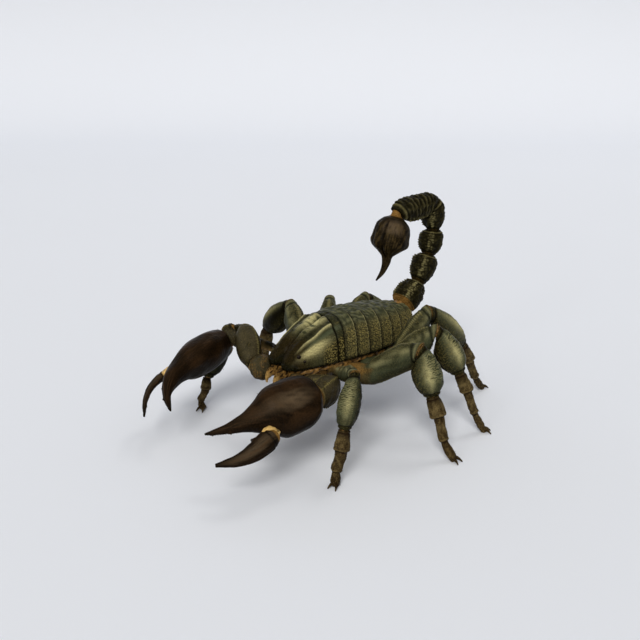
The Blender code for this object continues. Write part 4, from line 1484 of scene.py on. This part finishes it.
def build_pedipalps():
    """Both arms: three keeled joints, the claw, its movable finger and the skin between them."""
    for side, hand in HANDS:
        label = "pedipalp_%s_" % hand
        left = hand == "L"
        out = (side, 0.0, 0.0)
        broad = (side * 32.0, -10.0, -38.0)
        trochanter, femur, patella = (
            limb_of(label + joint, out, UPRIGHT) for joint in ("trochanter", "femur", "patella")
        )
        chela = tail_to_head(limb_of(label + "chela", FORWARD, broad))
        finger = tail_to_head(limb_of(label + "finger", FORWARD, broad))
        if left:
            hump = 1.0 - flow(chela.keys / chela.length, 0.0, 0.32)
            chela = Limb(chela.centres + hump[:, None] * (0.5, 0.4, 1.7), chela.across, chela.up)
            patella = Limb(patella.centres + (0.0, 0.0, 1.2), patella.across, patella.up)
        else:
            trochanter = knob(trochanter, 4.1)
        seed = 900 if left else 950
        keels = (0.55, -0.55, math.pi - 0.55, math.pi + 0.55)
        femur_keels = keels if left else (keels[0], keels[2])
        for joint, limb, relief, corner in (
            ("trochanter", trochanter, arm_relief(seed, ()), 2.15),
            ("femur", femur, arm_relief(seed + 3, femur_keels), 2.6),
            ("patella", patella, arm_relief(seed + 6, keels, 0.90 if left else 0.985), 2.6),
        ):
            add_tube(label + joint, limb, "arm", relief, (label + joint,), corner=corner, row_slot="shell")
        build_claw(label, chela, finger, seed, left)
        shoulder = trochanter.centres[0]
        skins = [joint_plug(trochanter, femur, 0.9, 0.8), joint_plug(patella, chela, 0.95, 0.9)]
        skins.append(round_limb([
            (shoulder + (-side * 2.5, 2.0, 0.4), 2.2, 2.2), (shoulder, 2.3, 2.3),
            (shoulder + (side * 1.0, 0.0, 0.0), 2.0, 2.0),
        ]))
        soft = {"relief": skin_folds, "row_slot": "mouth"}
        add_tube(label + "elbow", elbow_skin(femur, patella), "shell", domes=(0.3, 0.3), **soft)
        add_skins(label + "joint_skin", skins, domes=(0.3, 0.3))
        block = finger_block(chela, finger)
        add_tube(label + "finger_skin", block, "finger_skin", corner=3.2, domes=(0.4, 0.4), step=0.12, **soft)


def build_claw(label, chela, finger, seed, left):
    """The palm with its fixed finger, and the movable finger."""
    palm_end = float(chela.keys[6] / chela.length)
    tip = 0.78 if left else 0.70
    slim = 1.0 if left else 0.52
    shade = -0.68 if left else -0.40

    def palm_shape(share):
        """A little wider at the wrist, and slimmer along the fixed finger."""
        wide = 1.0 + 0.10 * (1.0 - flow(share, 0.04, 0.2)) - (1.0 - tip) * flow(share, palm_end, 0.85)
        return wide, wide

    def finger_shape(share):
        """Stouter at its root."""
        wide = slim + 0.25 * (1.0 - slim) * (1.0 - flow(share, 0.0, 0.3))
        return wide, wide

    relief = claw_relief(seed + 9, lambda share: facing_curve(chela, finger, share), palm_end, shade)
    add_tube(label + "chela", chela, "claw", relief, (label + "chela",), step=0.2, squeeze=palm_shape)
    relief = finger_relief(seed + 12, lambda share: facing_curve(finger, chela, share))
    add_tube(label + "finger", finger, "claw", relief, (label + "finger",), squeeze=finger_shape)


def tail_to_head(limb):
    """The limb, turned about if need be so that it starts at the end nearest the tail."""
    if limb.centres[0][1] < limb.centres[-1][1]:
        return Limb(limb.centres[::-1], limb.across[::-1], -limb.up[::-1])
    return limb


def facing_curve(limb, other, share):
    """Angle round limb that looks at the other finger, for each share of the length."""
    places = np.linspace(0.0, 1.0, 12)
    spots = other.spots(40)
    angles = []
    for place in places:
        centre = limb.spot(place * limb.length)
        nearest = spots[np.argmin(((spots - centre) ** 2).sum(1))]
        angles.append(limb.facing(place * limb.length, nearest))
    return np.interp(share, places, np.unwrap(angles))


def knob(limb, radius):
    """A round joint about the middle of a limb."""
    middle = 0.5 * (limb.centres[0] + limb.centres[-1])
    ahead = limb.centres[-1] - limb.centres[0]
    return ball(middle, ahead / np.linalg.norm(ahead), radius, 0.95, 13)


def elbow_skin(before, after):
    """Skin round the outside of a tightly folded elbow."""
    first = before.spot(before.length - 1.2)
    second = after.spot(1.2)
    a = before.centres[-1]
    b = after.centres[0]
    out = 0.5 * ((a - first) / np.linalg.norm(a - first) + (b - second) / np.linalg.norm(b - second))
    bend = 0.5 * (a + b) + out * 0.3
    tall = 0.62 * np.linalg.norm(before.across[-1])
    flat = 0.62 * np.linalg.norm(before.up[-1])
    rings = (
        (first, 0.9, 1.0), (a, 1.0, 1.15), (0.5 * (a + bend) + 0.2 * out, 1.02, 1.3), (bend, 1.0, 1.3),
        (0.5 * (b + bend) + 0.2 * out, 1.02, 1.3), (b, 1.0, 1.15), (second, 0.9, 1.0),
    )
    return round_limb([(place, tall * wide, flat * high) for place, wide, high in rings])


def finger_block(chela, finger):
    """The pale soft block that joins the movable finger to the palm."""
    root = finger.centres[0]
    along = finger.centres[1] - root
    along /= np.linalg.norm(along)
    spots = chela.spots(60)
    inner = spots[np.argmin(((spots - root) ** 2).sum(1))] - root
    inner -= along * (inner @ along)
    inner /= np.linalg.norm(inner)
    start = root + inner * 1.2 - along * 1.6
    end = root + inner * 1.3 + along * 2.4
    rings = ((0.0, 1.9, 1.7), (0.3, 2.1, 1.9), (0.65, 2.1, 1.8), (1.0, 1.7, 1.4))
    return round_limb([(start * (1.0 - t) + end * t, wide, high) for t, wide, high in rings], side=inner)


# ---------------------------------------------------------------- head
def jaw_relief(s):
    """Spotted orange jaw with a pale fang."""
    bumps = s.granules(0.5, 210)
    rough = drift(s.points, 0.9, 211)
    spots = flow(drift(s.points, 1.5, 212), 0.25, 0.5) * (1.0 - flow(s.share, 0.66, 0.78))
    fang = flow(s.share, 0.60, 0.74)
    return 0.03 * bumps + 0.05 * rough - 0.18 * s.ring(0.62, 0.02), {
        "lift": 0.62 + 0.05 * (bumps - 0.4),
        "pale": unit(0.10 * flow(-rough, 0.0, 1.0) + 0.30 * fang),
        "dark_and_shade": np.clip(0.98 * spots, 0.0, 0.95),
    }


def build_chelicerae():
    """The two small jaws, drawn back a little from the CAD's outline."""
    for _, hand in HANDS:
        node = "chelicera_" + hand
        limb = tail_to_head(limb_of(node, FORWARD, SIDEWAYS))
        base = limb.centres[0]
        limb = Limb(base + (limb.centres - base) * 0.72 + (0.0, 0.0, 0.4), 0.85 * limb.across, 0.85 * limb.up)
        add_tube(node, limb, "mouth", jaw_relief, (node,), step=0.11)


def build_eyes():
    """Glossy domes: a median pair on their tubercle, and two more eyes on each front corner."""
    for side, hand in HANDS:
        for kind in ("median", "lateral"):
            node = "eye_%s_%s" % (kind, hand)
            low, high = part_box(node)
            centre = 0.5 * (np.array(low) + np.array(high)) / MM
            radius = 1.25 * 0.5 * (high.x - low.x) / MM
            domes = [(centre - (0.0, 0.0, 0.5 * radius), radius * 1.1)]
            if kind == "lateral":
                domes.append((centre + (side * 1.7, 0.9, -1.55), radius * 0.8))
            limbs = [ball(place, UPRIGHT, r, 0.97, 11, side=SIDEWAYS) for place, r in domes]
            piece = add_tubes(node + "_dome", limbs, "eye", step=0.07, domes=(0.01, 0.02))
            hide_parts(node)


# ---------------------------------------------------------------- tail
def ring_relief(number):
    """Tail ring: two beaded keels on each side, lumps between them, and cross ribs on the last."""
    first = number == 1
    collar_end = 0.13 if first else 0.03

    def relief(s):
        size = sizes()
        beads = s.beads(0.85, 0.45)
        body = s.stretch(0.08, 0.18, 0.88, 0.94)
        crest = sum(s.keel(TOP + angle, 0.10) for angle in (0.62, -0.62, 1.75, -1.75))
        band = s.keel(TOP + 0.66, 0.34) + s.keel(TOP - 0.66, 0.34)
        bumps = s.granules(size.granule_pitch * 0.9, 400 + number)
        lumps = s.granules(1.05, 430 + number)
        rough = drift(s.points, 2.6, 410 + number)
        collar = s.ring(0.93, 0.028)
        cut = s.ring(0.885, 0.018) + s.ring(0.10, 0.02)
        ribs = 0.0
        if number == 5:
            ribs = np.sin(TAU * (s.mm + 0.12 * rough) / 1.65) * body * (1.0 - 0.75 * s.keel(TOP, 0.9))
            ribs = ribs * (0.6 + 0.4 * flow(rough, -1.0, 0.6))
        raised = size.keel_height * 1.3 * crest * beads * body + 0.16 * band * beads * body + 0.10 * rough
        raised = raised + size.granule_height * (0.8 * bumps + 1.1 * lumps * body)
        raised = raised + 0.16 * collar - 0.14 * cut + size.rib_height * 0.6 * ribs
        skin = 1.0 - flow(s.share, collar_end, collar_end + 0.04)
        lift = 0.5 + 0.25 * (bumps - 0.4) + 0.2 * (lumps - 0.4) + 0.32 * crest * beads * body
        # pale keels, and a painted highlight on the band of lumps
        highlight = (0.20 * crest + 0.55 * band * flow(lumps, 0.25, 0.6)) * (0.4 + 0.6 * unit(beads)) * body
        # dark ring and painted shade in the cuts; the band is lightened as a painted highlight
        dark_and_shade = 0.74 + 0.5 * cut - 0.35 * collar + 0.15 * flow(-rough, -0.2, 1.0)
        dark_and_shade = dark_and_shade - (0.55 if first else 0.35) * band - (0.65 if first else 0.0) * skin
        return raised, {
            "lift": lift + 0.22 * ribs + 0.25 * collar - 0.35 * cut,
            "grain": 0.30,
            "pale": unit(highlight + 0.3 * collar + 0.40 * flow(ribs, 0.45, 0.9)),
            "slate_and_sheen": 0.10 * flow(rough, -1.4, 0.9) * body,
            "dark_and_shade": np.clip(dark_and_shade, 0.0, 0.88),
            "amber": 0.03 + (0.9 if first else 0.3) * skin,
        }
    return relief


def telson_relief(s):
    """Sting: a striped bulb with two dark seams, and a smooth point."""
    size = sizes()
    bulb = s.stretch(0.10, 0.2, 0.62, 0.74)
    sting = flow(s.share, 0.66, 0.78)
    rough = drift(s.points, 4.0, 500)
    stripes = drift(np.stack(np.broadcast_arrays(s.angle * 2.2, 0.10 * s.mm, 0.0), -1), 0.30, 501)
    away = outward(s)
    bearing = np.arctan2(away[..., 1], away[..., 0]) + 0.5 * math.pi
    seam = (hill(bearing, 0.36, 0.11) + hill(bearing, -0.36, 0.11)) * bulb
    # a painted highlight on the bulb's face that looks towards the light
    highlight = flow(away @ np.array((0.66, -0.75, 0.0)), 0.70, 0.98)
    bumps = s.granules(size.granule_pitch, 505) * flow(np.sin(s.angle), 0.2, 0.8)
    raised = (0.045 * stripes + 0.10 * rough + 0.10 * bumps) * bulb - 0.28 * seam
    dark_and_shade = 0.35 * flow(-stripes, 0.3, 1.0) * bulb + 0.6 * flow(s.share, 0.88, 1.0) + 0.5 * s.ring(0.13, 0.02)
    return raised, {
        "lift": 0.5 + (0.20 * stripes + 0.2 * bumps) * bulb - 0.4 * seam,
        "grain": 0.25,
        "pale": unit(0.60 * flow(stripes, 0.1, 1.0) * bulb + 0.45 * s.keel(0.3, 0.35) * sting),
        "slate_and_sheen": 0.7 * highlight * s.stretch(0.10, 0.14, 0.24, 0.34),
        "dark_and_shade": np.clip(0.85 * seam + dark_and_shade, 0.0, 0.9),
        "amber": 0.95 * (1.0 - flow(s.share, 0.045, 0.062)),
    }


def barrel(number):
    """How a tail ring swells along its length."""
    def shape(share):
        if number == 1:
            wide = 0.94 - 0.24 * flow(share, 0.50, 0.92)
        elif number == 5:
            wide = 1.0 - 0.12 * flow(share, 0.7, 1.0)
        else:
            wide = 0.80 + 0.21 * flow(share, 0.02, 0.52) - 0.10 * flow(share, 0.72, 0.95)
        return wide, wide
    return shape


def bulb_shape(share):
    """The sting's bulb is roundest just before its middle and narrows sharply behind it."""
    round_part = hill(share, 0.475, 0.085) - hill(share, 0.63, 0.06)
    wide = 0.93 - 0.09 * hill(share, 0.11, 0.05) + 0.16 * round_part
    return wide, wide


def build_tail():
    """Five tail rings, the sting and the skin between them."""
    limbs = [limb_of("metasoma_%d" % number, UPRIGHT, SIDEWAYS) for number in range(1, 5)]
    limbs.append(limb_of("metasoma_5", FORWARD, SIDEWAYS))
    limbs.append(limb_of("telson", DOWN, SIDEWAYS))
    for number, limb in enumerate(limbs[:5], 1):
        name = "metasoma_%d" % number
        add_tube(name, limb, "shell", ring_relief(number), (name,), corner=2.3, squeeze=barrel(number))
    add_tube("telson", limbs[5], "sting", telson_relief, ("telson",), squeeze=bulb_shape)
    root, second = limbs[0].centres[:2]
    ahead = (second - root) / np.linalg.norm(second - root)
    plug = round_limb([
        (root - ahead * 3.0 + (0.0, -1.0, -0.6), 3.2, 2.6), (root - ahead * 1.4, 3.4, 2.9), (root, 3.2, 2.9),
        (root + ahead * 1.0, 2.8, 2.5),
    ], side=SIDEWAYS)
    between = [joint_plug(a, b, 0.74, 0.9) for a, b in zip(limbs[:4], limbs[1:5])]
    add_skins("tail_ring_skin", between, shaded_folds, domes=(0.2, 0.2))
    add_skins("tail_joint_skin", [plug, joint_plug(limbs[4], limbs[5], 0.78, 0.9)], domes=(0.2, 0.2))


# ---------------------------------------------------------------- hairs
def bristle(root, lean, reach):
    """Corners and faces of one bristle: a thin square spike that droops at its tip."""
    side = np.cross(lean, (0.3, 0.5, 0.8))
    side /= np.linalg.norm(side)
    other = np.cross(lean, side)
    square = [side * math.cos(TAU * n / 4) + other * math.sin(TAU * n / 4) for n in range(4)]
    points = []
    for share, radius in ((0.0, 0.08), (0.5, 0.06)):
        points += [root + lean * reach * share + way * radius for way in square]
    points.append(root + lean * reach + np.array((0.0, 0.0, -0.12 * reach)))
    faces = [[3, 2, 1, 0]]
    for n in range(4):
        m = (n + 1) % 4
        faces += [[n, m, 4 + m, 4 + n], [4 + n, 4 + m, 8]]
    return points, faces


def build_hairs():
    """Sparse bristles on the claws, legs and sting, each rooted in the shell."""
    draw = np.random.default_rng(77)
    size = sizes()
    # the piece, how many bristles, and between which shares of its length
    hosts = [
        ("telson_sting", 30, 0.25, 0.62), ("pedipalp_L_chela_claw", 20, 0.1, 0.5),
        ("pedipalp_R_chela_claw", 20, 0.1, 0.5),
    ]
    for _, hand in HANDS:
        for number in range(1, 5):
            hosts.append(("leg_%s%d_foot_tarsus" % (hand, number), 22, 0.1, 0.92))
            hosts.append(("leg_%s%d_patella_shell" % (hand, number), 8, 0.2, 0.9))
    points, faces = [], []
    for host, count, low, high in hosts:
        corners = bpy.data.objects[host].data.vertices
        place = rows_of(corners, "co") / MM
        way = rows_of(corners, "normal")
        last = len(place) - 2
        share = 0.7 if "patella" in host else 0.45
        for _ in range(count):
            pick = int(draw.uniform(low, high) * last)
            lean = way[pick] + draw.normal(size=3) * 0.25 + np.array((0.0, 0.0, -0.15))
            lean /= np.linalg.norm(lean)
            reach = size.hair_length * draw.uniform(0.3, 0.85) * share
            more, more_faces = bristle(place[pick] - way[pick] * 0.15, lean, reach)
            faces += [[len(points) + n for n in face] for face in more_faces]
            points += more
    add_piece("bristles", points, faces, "claw")


# ---------------------------------------------------------------- stage
# in metres: where the floor starts and where it begins to bend, the bend's radius, height and half width
BACKDROP_NEAR = -5.0
BACKDROP_FAR = 0.9
BACKDROP_BEND = 0.7
BACKDROP_TOP = 2.2
BACKDROP_HALF = 4.5
BACKDROP_STEPS = 16
WARM_LIGHT = (1.0, 0.95, 0.86)


def aim(thing, way):
    """Turn a camera or lamp to look along a direction."""
    thing.rotation_euler = way.to_track_quat("-Z", "Y").to_euler()


def add_camera(stage, target, way):
    """The camera, which looks at the target from the direction way."""
    camera = add_object("camera", bpy.data.cameras.new("camera"))
    camera.location = target + way * stage.distance
    aim(camera, -way)
    camera.data.angle = stage.view
    camera.data.clip_start = 0.01
    bpy.context.scene.camera = camera


def add_backdrop(back, side):
    """A floor that bends up into a wall behind the animal; its sizes are in metres."""
    profile = [(BACKDROP_NEAR, 0.0)]
    for n in range(BACKDROP_STEPS + 1):
        turn = 0.5 * math.pi * n / BACKDROP_STEPS
        up = BACKDROP_BEND * (1.0 - math.cos(turn))
        profile.append((BACKDROP_FAR + BACKDROP_BEND * math.sin(turn), up))
    profile.append((BACKDROP_FAR + BACKDROP_BEND, BACKDROP_TOP))
    corners, faces = [], []
    for away, up in profile:
        for half in (BACKDROP_HALF, -BACKDROP_HALF):
            corners.append(back * away + side * half + Vector((0, 0, up)))
    for n in range(0, 2 * len(profile) - 2, 2):
        faces.append((n, n + 1, n + 3, n + 2))
    mesh = bpy.data.meshes.new("backdrop")
    mesh.from_pydata(corners, [], faces)
    mesh.polygons.foreach_set("use_smooth", [True] * len(mesh.polygons))
    paint = Paint("backdrop")
    tone = paint.noise(0.004, 2.0, 0.4)
    shade = tuple(colours().floor)
    base = paint.mix(tone, shaded(shade, 0.985), shade)
    height = paint.node(
        "ShaderNodeVectorMath", {"operation": "DOT_PRODUCT"}, {0: paint.place, 1: UPRIGHT}, output="Value"
    )
    # painted shade: the backdrop grows darker higher up the wall
    base = paint.mix(height.between(-60.0, 420.0), base, shaded(shade, 0.82))
    mesh.materials.append(paint.finish(base, 0.85 + tone * 0.1, tone, 0.001, Specular_IOR_Level=0.2))
    floor = add_object("backdrop", mesh)


def add_lights(stage, target, front, side):
    """A soft key light, a fill and a rim light, and a pale sky."""
    for name, place, wide, power in (
        ("fill", front * 1.2 - side * 0.9 + Vector((0, 0, 0.7)), 0.35, stage.fill),
        ("rim", side * 0.5 - front * 0.5 + Vector((0, 0, 1.3)), 0.4, stage.rim),
    ):
        lamp = bpy.data.lights.new(name, "AREA")
        lamp.shape = "DISK"
        lamp.size = wide
        lamp.energy = power
        lamp.color = WARM_LIGHT
        made = add_object(name, lamp)
        made.location = target + place
        aim(made, -place)
    lamp = bpy.data.lights.new("key", "SUN")
    lamp.energy = stage.key
    lamp.angle = math.radians(22.0)
    lamp.color = WARM_LIGHT
    aim(add_object("key", lamp), -(front + Vector((0, 0, 0.92)) - side * 0.22))
    world = bpy.data.worlds.new("studio")
    bpy.context.scene.world = world
    world.use_nodes = True
    sky = world.node_tree.nodes["Background"]
    sky.inputs["Color"].default_value = (1.0, 0.96, 0.90, 1.0)
    sky.inputs["Strength"].default_value = stage.sky


def build_stage():
    """Camera, backdrop and lights."""
    stage = bpy.context.scene.scorpion_stage
    target = Vector(stage.target)
    flat = math.cos(stage.elevation)
    way = Vector((math.sin(stage.azimuth) * flat, -math.cos(stage.azimuth) * flat, math.sin(stage.elevation)))
    front = Vector((way.x, way.y, 0.0)).normalized()
    side = Vector((-front.y, front.x, 0.0))
    add_camera(stage, target, way)
    add_backdrop(-front, side)
    add_lights(stage, target, front, side)
    bpy.context.scene.view_settings.view_transform = "Standard"


# ---------------------------------------------------------------- operators and panel
class SCORPION_OT_carapace(bpy.types.Operator):
    """Build the head shield"""

    bl_idname = "scorpion.carapace"
    bl_label = "Head shield"

    def execute(self, context):
        build_carapace()
        return {"FINISHED"}


class SCORPION_OT_tergites(bpy.types.Operator):
    """Build the seven back plates"""

    bl_idname = "scorpion.tergites"
    bl_label = "Back plates"

    def execute(self, context):
        build_tergites()
        return {"FINISHED"}


class SCORPION_OT_underside(bpy.types.Operator):
    """Build the underside, the side skin and the combs"""

    bl_idname = "scorpion.underside"
    bl_label = "Underside"

    def execute(self, context):
        build_underside()
        return {"FINISHED"}


class SCORPION_OT_legs(bpy.types.Operator):
    """Build the eight walking legs, their joint skin and their foot prongs"""

    bl_idname = "scorpion.legs"
    bl_label = "Legs"

    def execute(self, context):
        build_legs()
        return {"FINISHED"}


class SCORPION_OT_pedipalps(bpy.types.Operator):
    """Build both arms with their claws and movable fingers"""

    bl_idname = "scorpion.pedipalps"
    bl_label = "Arms and claws"

    def execute(self, context):
        build_pedipalps()
        return {"FINISHED"}


class SCORPION_OT_chelicerae(bpy.types.Operator):
    """Build the two small jaws"""

    bl_idname = "scorpion.chelicerae"
    bl_label = "Jaws"

    def execute(self, context):
        build_chelicerae()
        return {"FINISHED"}


class SCORPION_OT_eyes(bpy.types.Operator):
    """Build the eyes"""

    bl_idname = "scorpion.eyes"
    bl_label = "Eyes"

    def execute(self, context):
        build_eyes()
        return {"FINISHED"}


class SCORPION_OT_tail(bpy.types.Operator):
    """Build the five tail rings and the sting"""

    bl_idname = "scorpion.tail"
    bl_label = "Tail and sting"

    def execute(self, context):
        build_tail()
        return {"FINISHED"}


class SCORPION_OT_bristles(bpy.types.Operator):
    """Build the bristles"""

    bl_idname = "scorpion.bristles"
    bl_label = "Bristles"

    def execute(self, context):
        build_hairs()
        return {"FINISHED"}


class SCORPION_OT_stage(bpy.types.Operator):
    """Build the floor, lights and camera"""

    bl_idname = "scorpion.stage"
    bl_label = "Stage"

    def execute(self, context):
        build_stage()
        return {"FINISHED"}


OPERATORS = (
    SCORPION_OT_carapace, SCORPION_OT_tergites, SCORPION_OT_underside, SCORPION_OT_legs,
    SCORPION_OT_pedipalps, SCORPION_OT_chelicerae, SCORPION_OT_eyes, SCORPION_OT_tail,
    SCORPION_OT_bristles, SCORPION_OT_stage,
)


class SCORPION_PT_panel(bpy.types.Panel):
    """Lists the sizes, colours and pieces"""

    bl_label = "Scorpion"
    bl_idname = "SCORPION_PT_panel"
    bl_space_type = "VIEW_3D"
    bl_region_type = "UI"
    bl_category = "Scorpion"

    def draw(self, context):
        scene = context.scene
        for group in (scene.scorpion_sizes, scene.scorpion_colours, scene.scorpion_stage):
            box = self.layout.box()
            for name in group.__annotations__:
                box.prop(group, name)
        for operator in OPERATORS:
            self.layout.operator(operator.bl_idname)


CLASSES = (ScorpionSizes, ScorpionColours, ScorpionStage, *OPERATORS, SCORPION_PT_panel)


def register():
    """Add the classes and the scene's settings."""
    for item in CLASSES:
        bpy.utils.register_class(item)
    bpy.types.Scene.scorpion_sizes = bpy.props.PointerProperty(type=ScorpionSizes)
    bpy.types.Scene.scorpion_colours = bpy.props.PointerProperty(type=ScorpionColours)
    bpy.types.Scene.scorpion_stage = bpy.props.PointerProperty(type=ScorpionStage)


def unregister():
    """Take out what register() added."""
    del bpy.types.Scene.scorpion_stage
    del bpy.types.Scene.scorpion_colours
    del bpy.types.Scene.scorpion_sizes
    for item in reversed(CLASSES):
        bpy.utils.unregister_class(item)


def main():
    """Build everything."""
    register()
    for operator in OPERATORS:
        group, name = operator.bl_idname.split(".")
        getattr(getattr(bpy.ops, group), name)()
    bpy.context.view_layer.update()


if __name__ == "__main__":
    main()
